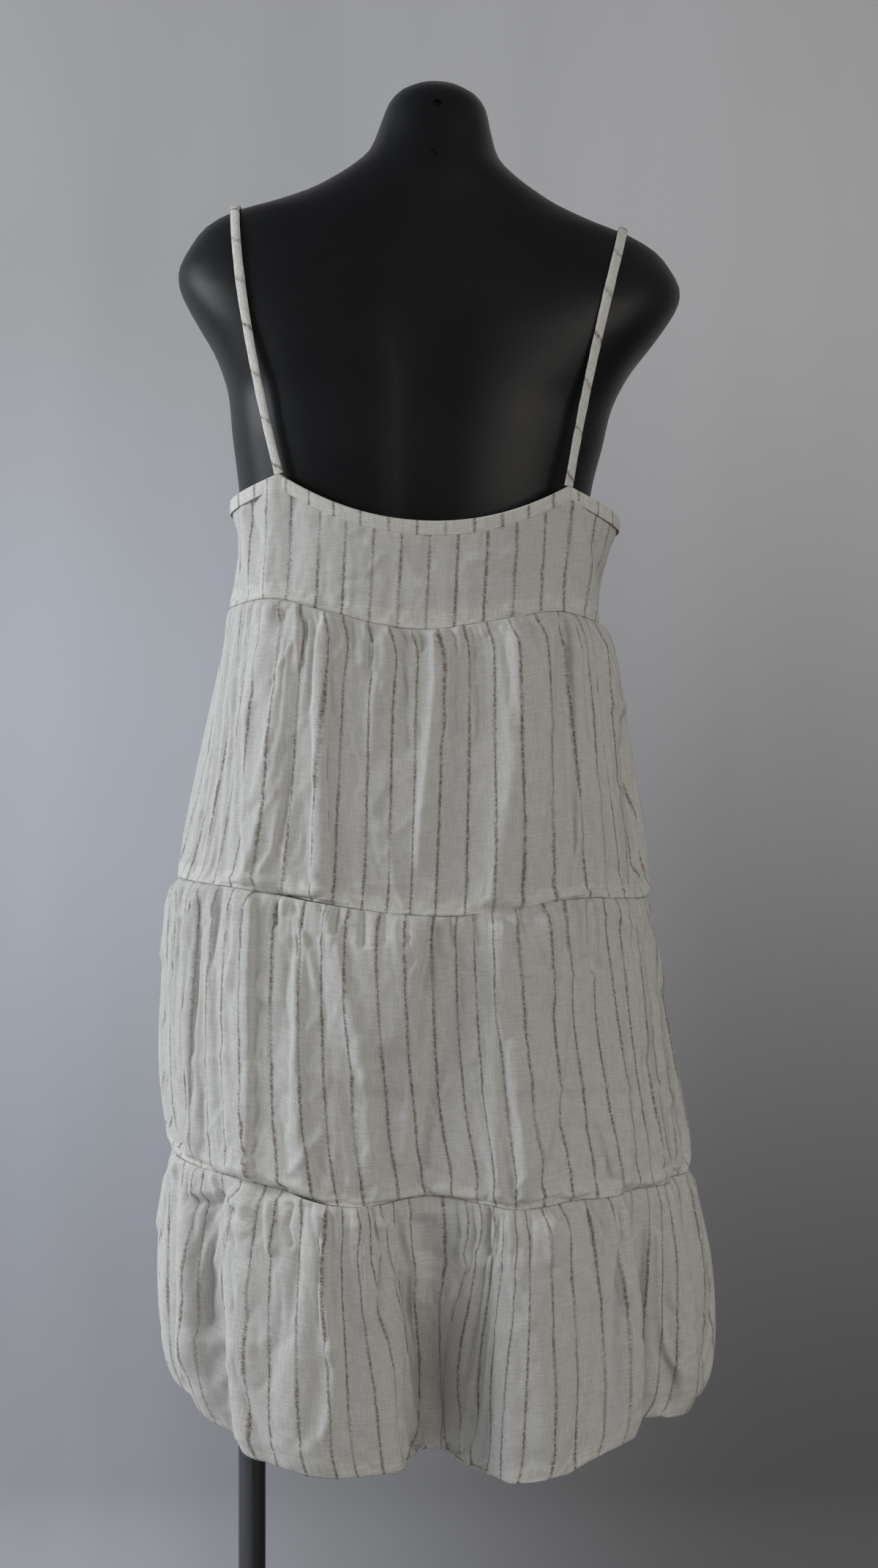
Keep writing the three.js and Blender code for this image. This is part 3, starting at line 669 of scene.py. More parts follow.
def match_stripes(tier, x, y, z, natural):
    """Shifts places on the flat cloth, in stripes, until the stripes are seen in place."""
    level, seen = STRIPES[tier]
    across, down = in_picture(x, y, z)
    row = int(np.argmin(np.abs(down[:, down.shape[1] // 2] - level)))
    uncovered = np.maximum.accumulate(across[row])
    uncovered += np.arange(len(uncovered)) * 1e-6
    there = np.interp(seen, uncovered, natural[row])
    steps = np.maximum(1, np.round(np.diff(there)))
    number = np.round(there[0]) + np.concatenate([[0], np.cumsum(steps)])
    return natural + np.interp(natural, there, number + 0.5 - there)


print("cloth wall in mm:", CLOTH_WALL)

# %% [markdown]
# ## Letting the cloth settle
#
# Placed points alone look stiff, because they pay no heed to how much cloth there is.
# So each tier is handed to Blender's cloth simulation for a moment. Its rest shape is
# the laid strip with some spare cloth, its seams are pinned to where they are sewn, and a weak
# pull keeps the large folds. The spare cloth then buckles into gathers and creases by
# itself. A coarse net is enough, and a smooth curve through its points makes it fine.

# %% Cloth simulation
FRAMES = 16
LINEN_LIKE = {
    "quality": 6, "mass": 0.12, "tension_stiffness": 20, "compression_stiffness": 20,
    "shear_stiffness": 4, "bending_stiffness": 0.2, "tension_damping": 12,
    "compression_damping": 12, "shear_damping": 8, "air_damping": 4, "pin_stiffness": 1,
}


def refine(values, rows, columns):
    """A finer net of values, on smooth curves through the given ones."""
    for count in (rows, columns):
        table = np.column_stack([np.linspace(0, 1, len(values)), values])
        values = sample(table, np.linspace(0, 1, count + 1))[1:]
    return values


def spare_cloth(x, y, z, across, down, seed):
    """The flat shape of the laid rows with some spare cloth, as x, y, z of each point.

    across and down are the spare shares. Dents in the flat shape are spare cloth too:
    they come back as creases in places that nobody chose."""
    steps = np.hypot(np.diff(x), np.diff(y)) * (1 + across)
    width = np.concatenate([np.zeros((len(x), 1)), np.cumsum(steps, axis=1)], axis=1)
    width -= width[:, -1:] / 2
    drop = np.sqrt(sum(np.diff(part, axis=0) ** 2 for part in (x, y, z))) * (1 + down)
    drop = np.sqrt(np.maximum(drop**2 - np.diff(width, axis=0) ** 2, (0.6 * drop) ** 2))
    height = np.concatenate([np.zeros((1, x.shape[1])), np.cumsum(drop, axis=0)])
    a, b = width + height * 0.7 + 900, height - width * 0.4 + 900
    dents = 1.5 * lattice(a / 15, b / 19, seed) + 2.2 * np.abs(lattice(b / 34, a / 23, seed + 1))
    dents += 2.0 * np.abs(lattice(a / 41, b / 29, seed + 2))
    return width, dents, -height


def settle_cloth(name, laid, flat, hold, most=9.0):
    """Rows of cloth after a short simulation. hold is the pull on each point, 1 pins it."""
    rows, columns = laid[0].shape[0] - 1, laid[0].shape[1] - 1
    obj, i, j = start_grid(name + "_loose", columns, rows)
    lay_points(obj, *(part[j, i] for part in laid))
    obj.shape_key_add(name="hung")
    cut = obj.shape_key_add(name="cut")
    places = np.stack([part[j, i] for part in flat], axis=1) * MM
    cut.data.foreach_set("co", places.astype(np.float32).ravel())
    group = obj.vertex_groups.new(name="sewn")
    strength = np.round(hold[j, i], 2)
    for level in np.unique(strength):
        group.add([int(k) for k in np.flatnonzero(strength == level)], float(level), "REPLACE")
    cloth = obj.modifiers.new("cloth", "CLOTH")
    for word, setting in LINEN_LIKE.items():
        setattr(cloth.settings, word, setting)
    cloth.settings.vertex_group_mass = "sewn"
    cloth.settings.rest_shape_key = cut
    cloth.point_cache.frame_start = 1
    cloth.point_cache.frame_end = FRAMES
    for frame in range(1, FRAMES + 1):
        bpy.context.scene.frame_set(frame)
    settled = obj.evaluated_get(bpy.context.evaluated_depsgraph_get()).data
    places = np.empty(len(settled.vertices) * 3)
    settled.vertices.foreach_get("co", places)
    places = places.reshape(-1, 3) / MM
    bpy.data.objects.remove(obj, do_unlink=True)
    bpy.context.scene.frame_set(1)
    moved = np.empty((3, rows + 1, columns + 1))
    moved[:, j, i] = places.T
    moved -= np.array(laid)
    far = np.linalg.norm(moved, axis=0)
    print(name, "moved by up to", round(float(far.max()), 1), "and", round(float(far.mean()), 1))
    return np.array(laid) + moved * np.minimum(1, most / np.maximum(far, 1e-6))


# %% [markdown]
# ## Linen
#
# The dress is a slightly sheer ivory linen in plain weave. Every 22 mm a thick, uneven
# brown yarn runs lengthwise. It is carried in short dashes, wanders a little, and has
# thicker stretches with small crosswise hairs. A texture on the UV map follows the
# thread, which a projected one would not. Where the cloth lies close to the black form
# it is painted greyer: painted shade for the dark form showing through the sheer cloth
# and the shade it casts inside the dress. Where a seam's allowance lies behind it, the
# cloth is lighter. Both are stored on the points.

# %% Linen material
STRIPE_PITCH = 0.022


class Shader:
    """A few short words for building a material's nodes."""

    def __init__(self, name):
        self.material = bpy.data.materials.new(name)
        self.material.use_nodes = True
        self.tree = self.material.node_tree

    def fill(self, node, values):
        """Gives sockets, by name or number, a value or another node's output."""
        for socket, value in values.items():
            if isinstance(value, bpy.types.NodeSocket):
                self.tree.links.new(value, node.inputs[socket])
            else:
                node.inputs[socket].default_value = value

    def add(self, kind, values, **settings):
        """The outputs of a new node."""
        node = self.tree.nodes.new("ShaderNode" + kind)
        for name, setting in settings.items():
            setattr(node, name, setting)
        self.fill(node, values)
        return node.outputs

    def math(self, operation, *values):
        return self.add("Math", dict(enumerate(values)), operation=operation)[0]

    def times(self, a, b):
        return self.math("MULTIPLY", a, b)

    def plus(self, a, b):
        return self.math("ADD", a, b)

    def vector(self, *values):
        return self.add("CombineXYZ", dict(enumerate(values)))[0]

    def noise(self, vector, scale=1.0, detail=2.0, roughness=0.5):
        values = {"Vector": vector, "Scale": scale, "Detail": detail, "Roughness": roughness}
        return self.add("TexNoise", values)["Fac"]

    def ramp(self, *values):
        """Eases a value between a low and a high one, and between two results if given."""
        return self.add("MapRange", dict(enumerate(values)), interpolation_type="SMOOTHSTEP")[0]

    def mix(self, share, first, second):
        return self.add("Mix", {0: share, 6: first, 7: second}, data_type="RGBA")[2]

    def value(self, name):
        return self.add("Attribute", {}, attribute_name=name)["Fac"]

    def bump(self, height, distance, strength):
        values = {"Height": height, "Distance": distance, "Strength": strength}
        return self.add("Bump", values)[0]

    def place(self):
        return self.add("TexCoord", {})["Object"]

    def finish(self, looks):
        """Gives the surface its looks and returns the material."""
        self.fill(self.tree.nodes["Principled BSDF"], looks)
        return self.material


IVORY = (0.735, 0.715, 0.68, 1)
LIGHT_IVORY = (0.83, 0.81, 0.745, 1)
# painted shade: the grey the cloth is tinted where the dark form lies close behind it
PAINTED_SHADE_GREY = (0.36, 0.36, 0.355, 1)
THREAD_SHADE = (0.5, 0.48, 0.43, 1)
CLOUD_SHADE = (0.62, 0.59, 0.52, 1)
SLUB_LIGHT = (0.9, 0.88, 0.82, 1)
YARN = (0.2, 0.145, 0.11, 1)


def linen(name, phase=0.0):
    """Striped linen. phase shifts the stripes by a share of their pitch."""
    s = Shader(name)
    uv = s.add("SeparateXYZ", {0: s.add("UVMap", {})[0]})
    across, down = uv[0], uv[1]
    place = s.plus(s.math("DIVIDE", across, STRIPE_PITCH), phase)
    seed = s.times(s.math("FLOOR", place), 7.31)

    def along(changes, layer, detail, roughness=0.5):
        """Noise along each stripe, with so many changes in a metre."""
        spot = s.vector(seed, s.times(down, changes), layer)
        return s.noise(spot, detail=detail, roughness=roughness)

    def over(x, y, detail, layer=0.0):
        """Noise over the cloth, with so many changes in a metre each way."""
        return s.noise(s.vector(s.times(across, x), s.times(down, y), layer), detail=detail)

    def sway(noise, reach):
        return s.times(s.math("SUBTRACT", noise, 0.5), reach)

    shift = s.plus(sway(along(260, 0.0, 6, 0.7), 0.11), sway(along(22, 4.0, 1), 0.05))
    middle = s.math("SUBTRACT", s.math("FRACT", place), 0.5)
    beside = s.times(s.math("ABSOLUTE", s.plus(middle, shift)), STRIPE_PITCH)
    half = s.ramp(along(60, 9.0, 2), 0.3, 0.7, 0.0007, 0.0013)
    core = s.ramp(s.math("DIVIDE", beside, half), 0.3, 1.6, 1.0, 0.0)
    twist = s.plus(s.times(down, 650), s.times(across, 900))
    plies = s.noise(s.vector(s.times(across, 1300), twist, 2.0), detail=3)
    knots = s.ramp(along(310, 6.0, 2), 0.36, 0.56, 0.5, 1.0)
    dash = s.times(s.ramp(plies, 0.36, 0.58, 0.4, 1.0), knots)
    faint = s.ramp(along(15, 5.0, 1), 0.3, 0.55, 0.45, 1.0)
    core = s.times(s.times(core, dash), faint)
    hairs = s.ramp(over(240, 1300, 1), 0.54, 0.68)
    hairs = s.times(hairs, s.ramp(beside, 0.0009, 0.003, 0.6, 0.0))
    yarn = s.math("MAXIMUM", core, hairs)

    weave = s.plus(over(70, 1100, 3), over(1100, 70, 3))
    slub = s.ramp(over(45, 900, 1, 3.0), 0.62, 0.76)
    cloud = s.noise(s.vector(across, down), scale=16, detail=3)
    double = s.plus(s.value("double"), s.times(over(120, 30, 2), 0.9))
    double = s.ramp(double, 0.75, 1.15)
    # painted shade near the dark form, weaker where a second layer of cloth lies behind
    near = s.times(s.value("near"), s.ramp(double, 0, 1, 1.0, 0.45))
    colour = s.mix(s.times(double, 0.7), IVORY, LIGHT_IVORY)
    for share, tint in (
        (near, PAINTED_SHADE_GREY),
        (s.ramp(weave, 0.8, 1.2, 0.5, 0.0), THREAD_SHADE),
        (s.ramp(cloud, 0.35, 0.7, 0.0, 0.1), CLOUD_SHADE),
        (s.times(slub, 0.6), SLUB_LIGHT),
        (yarn, YARN),
    ):
        colour = s.mix(share, colour, tint)
    relief = s.plus(s.times(weave, 0.5), s.times(yarn, 1.6))
    relief = s.plus(relief, s.times(slub, 0.8))
    return s.finish({
        "Base Color": colour, "Normal": s.bump(relief, 0.00022, 0.9), "Roughness": 0.86,
        "Specular IOR Level": 0.25, "Sheen Weight": 0.12, "Sheen Roughness": 0.45,
    })


linens = {part: linen("linen_" + part) for part in ("bodice", "tier_1", "tier_2", "tier_3", "strap")}
linens["binding"] = linen("linen_binding", 0.13)

# %% [markdown]
# ## The gathered tiers
#
# Each tier is a back and a front strip. The upper edge is pinched flat where it is sewn
# in, puffs out just below, and turns in behind the seam. The lower edge rolls inwards a
# little, so a real groove shows the seam. The hem of the last tier is one more turn of
# the same strip: it runs round the edge and 13 mm up on the inside.

# %% Make the tiers
HEM_TURN = 13.0
SPARE = 0.02
# how far out and how far up each row of the turned hem lies
TURNING = [(-0.9, 0.4)] + [(-1.5, up) for up in np.linspace(1.5, HEM_TURN, 6)]


def edge_roll(below, above, last):
    """How the cloth turns in at the seam over it and at the one under it."""
    roll = -1.0 * bell(below, 2.0)
    if not last:
        roll = roll - 0.6 * bell(above, 1.8) + 0.5 * bell(above - 9, 5)
    return roll


def tier_half(number, half, upper, lower, columns, rows, flat_width):
    front = half == "front"
    last = number == 3
    name = f"tier_{number}_{half}"
    count, tall, reach, at_back = TIERS[number - 1]
    height = upper[0] - lower[0]
    seed = 10 * number + (5 if front else 0)
    gap = 0 if last else SEAM_GAP / 2

    def height_at(x, v):
        top = seam_height(upper, x, front) - SEAM_GAP / 2
        return top * (1 - v) + (seam_height(lower, x, front) + gap) * v

    def relief(x, y, z, u, v):
        below, above = v * height, (1 - v) * height
        ends = smooth(np.minimum(u, 1 - u) * 28)
        out = gathers(u, below, count, tall, reach, seed) * (1 if front else at_back)
        across = u * flat_width
        calm = smooth(below / 12 + 0.15) * (1 if last else smooth(above / 10 + 0.2))
        out = out + crumple(across, np.full_like(u, below), seed + 1) * calm
        if not front:
            px, py = in_picture(x, y, z)
            wide = drawn_relief(number, px, py, False)
            out = out + wide * (1 if last else smooth(above / 14 + 0.1))
        if not last:
            pucker = lattice(across / 9, np.full_like(u, seed), seed + 7)
            out = out + 0.7 * pucker * bell(above, 14)
        return out * ends + 1.4 * bell(below - 11, 7)

    coarse = row_shares(rows // 3 * 2)
    net = int(columns * 0.45)
    x, y, z = laid_rows(front, (upper[0], lower[0]), coarse, relief, height_at, net)
    drop = np.sqrt(sum(np.diff(part, axis=0) ** 2 for part in (x, y, z)))
    down = coarse * drop.sum(0).mean()
    down = np.repeat(down[:, None], net + 1, axis=1)
    below, above = down[:, :1], down[-1, 0] - down[:, :1]
    across = SPARE + tall * 0.025 * np.exp(-below / 30) + (0 if last else 0.03 * bell(above, 12))
    flat = spare_cloth(x, y, z, across, SPARE / 2, seed + 40)
    hold = np.repeat(0.08 + 0.16 * np.exp(-below / 35), net + 1, axis=1)
    hold[0] = 1
    hold[:, [0, -1]] = 1
    hold[-1] = 0.3 if last else 1
    x, y, z = settle_cloth(name, (x, y, z), flat, hold)
    x, y, z, down = (refine(part, rows, columns) for part in (x, y, z, down))
    nx, ny = outward(x, y)
    full = down[-1, 0]
    share = np.repeat(np.linspace(0, 1, columns + 1)[None], rows + 1, axis=0)
    calm = smooth(down / 9) * (1 if last else smooth((full - down) / 9))
    calm = calm * smooth(np.minimum(share, 1 - share) * 40)
    roll = edge_roll(down, full - down, last)
    roll = roll + 1.9 * creases(share * flat_width, down, seed + 60) * calm
    roll = roll + gathers(share, down, 3 * count, 1.5, 15, seed + 80) * smooth(down / 4)
    if not front:
        narrow = drawn_relief(number, *in_picture(x, y, z), True)
        roll = roll + narrow * smooth(down / 5 + 0.3) * (1 if last else smooth((full - down) / 12))
    x, y = x + nx * roll, y + ny * roll
    stripes = share * flat_width * MM / STRIPE_PITCH
    if not front:
        stripes = match_stripes(number, x, y, z, stripes)
    x, y, z, gap_to_form = keep_off_form(x, y, z)
    above = full - down
    if last:
        nx, ny = outward(x, y)
        inner = []
        for out, up in TURNING:
            k = np.interp(full - up, down[:, 0], np.arange(rows + 1))
            a, t = int(k), k - int(k)
            row = [part[a] * (1 - t) + part[min(a + 1, rows)] * t for part in (x, y, z)]
            inner.append([row[0] + nx[-1] * out, row[1] + ny[-1] * out, row[2]])
        x, y, z = np.concatenate([[x, y, z], np.swapaxes(inner, 0, 1)], axis=1)
        more = np.array([[full + up] for _, up in TURNING])
        down = np.vstack([down, np.repeat(more, columns + 1, axis=1)])
        above = np.abs(full - down)
        same = [*range(rows + 1)] + [rows] * len(TURNING)
        gap_to_form, stripes = gap_to_form[same], stripes[same]
    # painted shade: greyer where the cloth is close to the dark form, fading out below about 600 mm
    near = 0.5 * np.exp(-gap_to_form / 30) * smooth((z - 600) / 150)
    double = 1 - np.clip((above - 8) / 10, 0, 1)
    flat = (stripes * STRIPE_PITCH / MM, down)
    return make_cloth(name, (x, y, z), flat, near, double, linens[f"tier_{number}"])


SEAMS = [BODICE_SEAM, UPPER_SEAM, LOWER_SEAM, HEM]
FLAT_WIDTHS = (540, 640, 760)
# columns and rows of the grids
GRIDS = {
    "back": ((400, 92), (450, 92), (484, 84)),
    "front": ((230, 70), (270, 70), (300, 62)),
}
for number in (1, 2, 3):
    for half in ("back", "front"):
        columns, rows = GRIDS[half][number - 1]
        tier_half(
            number, half, SEAMS[number - 1], SEAMS[number], columns, rows,
            FLAT_WIDTHS[number - 1],
        )

# %% [markdown]
# ## The bodice
#
# The bodice is plain: a back and a front with no darts, cut so that the stripes run
# straight down. It has soft drag lines below the armholes.

# %% Make the bodice
BODICE_FLAT = 415
# how deep the bodice's panels were cut, and a height that their threads are measured from
BODICE_LEVEL = 1170


def bodice_half(half, columns, rows):
    front = half == "front"
    seed = 70 + (5 if front else 0)
    levels = (UNDERARM + 8, BODICE_SEAM[0])

    def height_at(x, v):
        lowest = seam_height(BODICE_SEAM, x, front) + SEAM_GAP / 2
        return top_height(x, front) * (1 - v) + lowest * v

    def relief(x, y, z, u, v):
        height = levels[0] - levels[1]
        above = (1 - v) * height
        ends = smooth(np.minimum(u, 1 - u) * 20)
        out = 0.75 * crumple(u * BODICE_FLAT, np.full_like(u, v * height), seed)
        out = out * smooth(v * 6) * smooth(above / 8 + 0.1)
        if not front:
            out = out + drawn_relief(0, *in_picture(x, y, z), False)
        return out * ends - 1.0 * bell(above, 2.0) + 0.4 * bell(above - 8, 4)

    net = (columns // 2, rows // 2)
    x, y, z = laid_rows(front, levels, row_shares(net[1]), relief, height_at, net[0])
    flat = spare_cloth(x, y, z, 0.022, 0.012, seed + 3)
    hold = np.full(x.shape, 0.12)
    hold[[0, -1]] = 1
    hold[:, [0, -1]] = 1
    x, y, z = settle_cloth(f"bodice_{half}", (x, y, z), flat, hold, most=5.0)
    x, y, z = (refine(part, rows, columns) for part in (x, y, z))
    nx, ny = outward(x, y)
    steps = np.hypot(np.diff(x), np.diff(y))
    across = np.concatenate([np.zeros((rows + 1, 1)), np.cumsum(steps, axis=1)], axis=1)
    order, centre = (slice(None, None, -1), -4.5) if front else (slice(None), 4.5)
    middle = [np.interp(centre, xs[order], along[order]) for xs, along in zip(x, across)]
    across = across - np.array(middle)[:, None] + BODICE_FLAT / 2
    shares, levels = np.linspace(0, 1, columns + 1), row_shares(rows)[:, None]
    calm = smooth(levels * 9) * smooth((1 - levels) * 9)
    fine = 1.3 * creases(across, BODICE_LEVEL - z, seed + 9)
    if not front:
        fine = fine + drawn_relief(0, *in_picture(x, y, z), True)
    fine = fine * calm * smooth(np.minimum(shares, 1 - shares) * 30)
    x, y = x + nx * fine, y + ny * fine
    x, y, z, gap_to_form = keep_off_form(x, y, z)
    stripes = (across + 0.05 * (1116 - z)) * MM / STRIPE_PITCH
    if not front:
        stripes = match_stripes(0, x, y, z, stripes)
    top, low = top_height(x, front), seam_height(BODICE_SEAM, x, front)
    edge = np.minimum(z - low, (top - z) + 2)
    # painted shade: the bodice is greyer where it is close to the dark form
    near, double = 0.3 * np.exp(-gap_to_form / 30), 1 - np.clip((edge - 8) / 10, 0, 1)
    flat = (stripes * STRIPE_PITCH / MM, BODICE_LEVEL - z)
    return make_cloth(f"bodice_{half}", (x, y, z), flat, near, double, linens["bodice"])


bodice = {"back": bodice_half("back", 260, 60), "front": bodice_half("front", 160, 40)}

# %% [markdown]
# ## Bindings
#
# The neckline and the armholes are bound with a 10 mm strip of the same cloth. It wraps
# the raw edge, so its section is a narrow, slightly puffed U. Each strip is one grid whose
# rows run up the outside, over the edge and down the inside.

# %% Make the bindings
# name, first and last angle in degrees from the back's middle
BINDINGS = [
    ("binding_back", -43.04, 43.04),
    ("binding_right", 43.04, 144.78),
    ("binding_front", 144.78, 215.22),
    ("binding_left", 215.22, 316.96),
]
BINDING_WALL = 0.5
# out of the cloth's middle and up from the bodice's edge, both in mm
BINDING_SECTION = [
    (0.6, -10), (0.95, -9.8), (1.1, -9), (1.15, -6), (1.2, -3), (1.15, -1), (0.95, 0.2),
    (0.4, 0.8), (-0.3, 0.8), (-0.85, 0.1), (-1.0, -2), (-1.0, -5), (-0.95, -8),
]


def binding(name, first, last):
    columns = int(abs(last - first) * 2.2)
    angle = np.linspace(first, last, columns + 1)
    out, up = (part[:, None] for part in np.array(BINDING_SECTION).T)
    level = np.full(columns + 1, float(UNDERARM + 8))
    x, y = on_dress(angle, level)
    back = np.cos(np.radians(angle)) > 0
    y = y + np.where(np.cos(np.radians(angle)) < 0, 1, -1) * SEAM_GAP / 2
    nx, ny = (part[0] for part in outward(x[None], y[None]))
    z = np.where(back, top_height(x, False), top_height(x, True))
    steps = np.sqrt(np.diff(x) ** 2 + np.diff(y) ** 2 + np.diff(z) ** 2)
    along = np.concatenate([[0], np.cumsum(steps)])
    wobble = 0.25 * lattice(along / 14, np.full_like(along, len(name)), 91)
    turn = np.concatenate([[0], np.cumsum(np.hypot(*np.diff(BINDING_SECTION, axis=0).T))])
    out = out + wobble * (out > 1)
    flat = np.broadcast_arrays(along, turn[:, None])
    places = (x + nx * out, y + ny * out, z + up)
    return make_cloth(name, places, flat, 0, 1, linens["binding"], BINDING_WALL), along[-1]


bindings = [binding(*row) for row in BINDINGS]

# %% [markdown]
# ## Straps
#
# The straps are rouleaux: narrow tubes turned right side out, pressed to a soft oval and
# cut on the bias, so their stripe crosses them at a slant every few centimetres. The path
# over the shoulder is that of a string pulled tight, and a strap is a grid rolled into a
# tube along it.

# %% Make the straps
STRAP_WIDTH = 7.6
STRAP_THICKNESS = 3.4
# between a strap and the form, and from the bodice's edge up to a strap's end
STRAP_CLEAR = 1.1
STRAP_FOOT = 0.9
# height of the bodice's section that the ends lie on, and of the shoulders' crest
STRAP_LEVEL = 1162
STRAP_CREST = 1392
# how far over the crest the string starts, before it is pulled tight
STRAP_SLACK = 40
STRAP_STEPS = 36
STRAP_ROUNDS = 900
# name, side, x of the crest, and bow: more than 0 moves it outwards soon after the bodice
STRAPS = [("strap_left", -1, -150, 0.5), ("strap_right", 1, 159, -0.25)]


def strap_path(side, crest_x, bow):
    """Points of a strap that is pulled tight like a string, from back to front.

    Each point moves towards the middle of its neighbours, and out of the form."""
    _, width, back, front, middle, square = sample(DRESS, np.array(float(STRAP_LEVEL)))
    ends = []
    for edge, deep, in_front in ((BACK_TOP, -back, False), (FRONT_TOP, front, True)):
        x = side * edge[2]
        share = 1 - (abs(x - middle) / width) ** square
        ends.append((x, deep * share ** (1 / square), top_height(x, in_front) + STRAP_FOOT))
    first, last = np.array(ends, float)
    share = np.linspace(0, 1, STRAP_STEPS + 1)[:, None]
    points = first * (1 - share) + last * share
    highest = STRAP_CREST - TILT * crest_x + STRAP_SLACK
    arch = np.sqrt(np.maximum(0, np.sin(math.pi * share[:, 0])))
    points[:, 2] += (highest - points[:, 2]) * arch
    for turn in range(2 * STRAP_ROUNDS):
        moving = np.arange(1 + turn % 2, STRAP_STEPS, 2)
        crest = np.argmax(points[:, 2])
        _, y, z = ((points[moving - 1] + points[moving + 1]) / 2).T
        start = np.where((moving > crest)[:, None], last, first)
        climbed = np.clip((z - start[:, 2]) / (points[crest, 2] - start[:, 2]), 0, 1)
        x = start[:, 0] + (crest_x - start[:, 0]) * climbed * (1 + bow * (1 - climbed))
        gap, away = off_form(x, y, z)
        push = np.maximum(0, STRAP_CLEAR + STRAP_THICKNESS / 2 - gap)
        push = push / np.maximum(0.3, np.hypot(away[1], away[2]))
        points[moving] = np.stack([x, y + away[1] * push, z + away[2] * push], axis=1)
    return points


def curve_through(points, count):
    """Evenly spaced points of a smooth curve through the given ones."""
    numbered = np.column_stack([np.arange(len(points)), points])
    fine = sample(numbered, np.linspace(0, len(points) - 1, 2000))[1:]
    steps = np.linalg.norm(np.diff(fine, axis=1), axis=0)
    length = np.concatenate([[0], np.cumsum(steps)])
    even = np.linspace(0, length[-1], count)
    return np.array([np.interp(even, length, part) for part in fine]), even


def strap(name, side, crest_x, bow, columns=20, rows=240):
    path, along = curve_through(strap_path(side, crest_x, bow)[::2], rows + 1)
    tangent = np.gradient(path, axis=1)
    tangent /= np.linalg.norm(tangent, axis=0)
    _, away = off_form(*path)
    up = away - tangent * (away * tangent).sum(0)
    up /= np.linalg.norm(up, axis=0)
    wide = np.cross(tangent.T, up.T).T
    i, along = np.arange(columns + 1), along[:, None]
    turn = 2 * math.pi * i / columns
    lump = 1 + 0.05 * lattice(along / 9, np.full_like(along, 3.3), 41)
    side = STRAP_WIDTH / 2 * np.cos(turn) * lump
    top = STRAP_THICKNESS / 2 * np.sin(turn) * (1 + 0.1 * lattice(along / 12, turn, 43))
    places = path[:, :, None] + wide[:, :, None] * side - up[:, :, None] * top
    flat = (along * 0.6 + 9.5 * i / columns, along * 0.4 - 15 * i / columns)
    obj = lay_cloth(name, places, flat, 0, 1)
    close_mesh(merge=0.00002)
    bpy.ops.object.shade_smooth_by_angle(angle=math.radians(50))
    settle(obj, linens["strap"], name)


for row in STRAPS:
    strap(*row)

# %% [markdown]
# ## The form
#
# The form is blow-moulded black plastic: smooth and faintly glossy. It is lofted the way
# one would do it by hand: a ring for its lower rim is extruded again and again, each new
# rim is laid on the next section, and the two ends are filled.

# %% Form and its finish
FORM_SIDES = 112
# two small holes in the nape
NAPE_HOLES = [(10.1, -46, 1471), (6.7, -60, 1429)]


def form_ring(z):
    angle = np.linspace(0, 360, FORM_SIDES, endpoint=False)
    row = sample(FORM, np.full(FORM_SIDES, float(z)))
    x, y = on_section(row, angle)
    spine = 5 * bell(x, 20) * smooth((z - 1000) / 80) * smooth((1400 - z) / 60)
    return np.array([row[4] + x, y + np.where(y < 0, spine, 0), z - form_tilt(z) * x])


def satin_black():
    s = Shader("form_satin_black")
    cloud = s.noise(s.place(), scale=9, detail=4)
    grain = s.noise(s.place(), scale=900, detail=2)
    return s.finish({
        "Base Color": s.mix(cloud, (0.004, 0.004, 0.0045, 1), (0.008, 0.008, 0.009, 1)),
        "Roughness": s.ramp(cloud, 0.3, 0.7, 0.34, 0.46),
        "Normal": s.bump(grain, 0.00008, 0.5), "Specular IOR Level": 0.3,
    })


def make_form():
    levels = [FORM[0, 0]]
    for low, high in zip(FORM[:-1, 0], FORM[1:, 0]):
        steps = max(2, int(round((high - low) / 8)))
        levels += list(low + (high - low) * np.arange(1, steps + 1) / steps)
    rings = [form_ring(z) for z in levels]
    top = rings[-1]
    heart = top.mean(axis=1, keepdims=True)
    for height, share in ((FORM_TOP - 0.9, 0.6), (FORM_TOP, 0.2)):
        cap = heart + (top - heart) * share
        cap[2] += height - FORM[-1, 0]
        rings.append(cap)
    bpy.ops.mesh.primitive_circle_add(vertices=FORM_SIDES, radius=0.1, fill_type="NOTHING")
    obj = bpy.context.object
    obj.name = obj.data.name = "form"
    bpy.ops.object.mode_set(mode="EDIT")
    bpy.ops.mesh.select_all(action="SELECT")
    for _ in rings[1:]:
        bpy.ops.mesh.extrude_region_move(TRANSFORM_OT_translate={"value": (0, 0, 0.01)})
    bpy.ops.object.mode_set(mode="OBJECT")
    places = np.array([v.co[:] for v in obj.data.vertices])
    ring = np.round(places[:, 2] / 0.01).astype(int)
    turn = np.round(np.degrees(np.arctan2(places[:, 0], -places[:, 1])) / 360 * FORM_SIDES)
    turn = turn.astype(int) % FORM_SIDES
    for v, r, t in zip(obj.data.vertices, ring, turn):
        v.co = Vector(rings[r][:, t]) * MM
    close_mesh()
    for place in NAPE_HOLES:
        bpy.ops.mesh.primitive_cylinder_add(
            vertices=24, radius=3.5 * MM, depth=16 * MM, location=[c * MM for c in place],
            rotation=(math.pi / 2, 0, 0),
        )
        drill = bpy.context.object
        bpy.context.view_layer.objects.active = obj
        hole = obj.modifiers.new("hole", "BOOLEAN")
        hole.object = drill
        bpy.ops.object.modifier_apply(modifier="hole")
        bpy.data.objects.remove(drill, do_unlink=True)
    obj.select_set(True)
    bpy.ops.object.shade_smooth_by_angle(angle=math.radians(40))
    return obj


settle(make_form(), satin_black(), "form_torso")

# %% [markdown]
# ## The stand
#
# A chromed steel tube and a powder-coated round plate. The tube is a fine cylinder with
# bevelled ends.

# %% Pole and base plate


def chrome():
    s = Shader("pole_chrome")
    smear = s.noise(s.place(), scale=30, detail=3)
    return s.finish({
        "Base Color": (0.13, 0.13, 0.14, 1), "Metallic": 1.0,
        "Roughness": s.ramp(smear, 0.3, 0.8, 0.12, 0.26),
    })


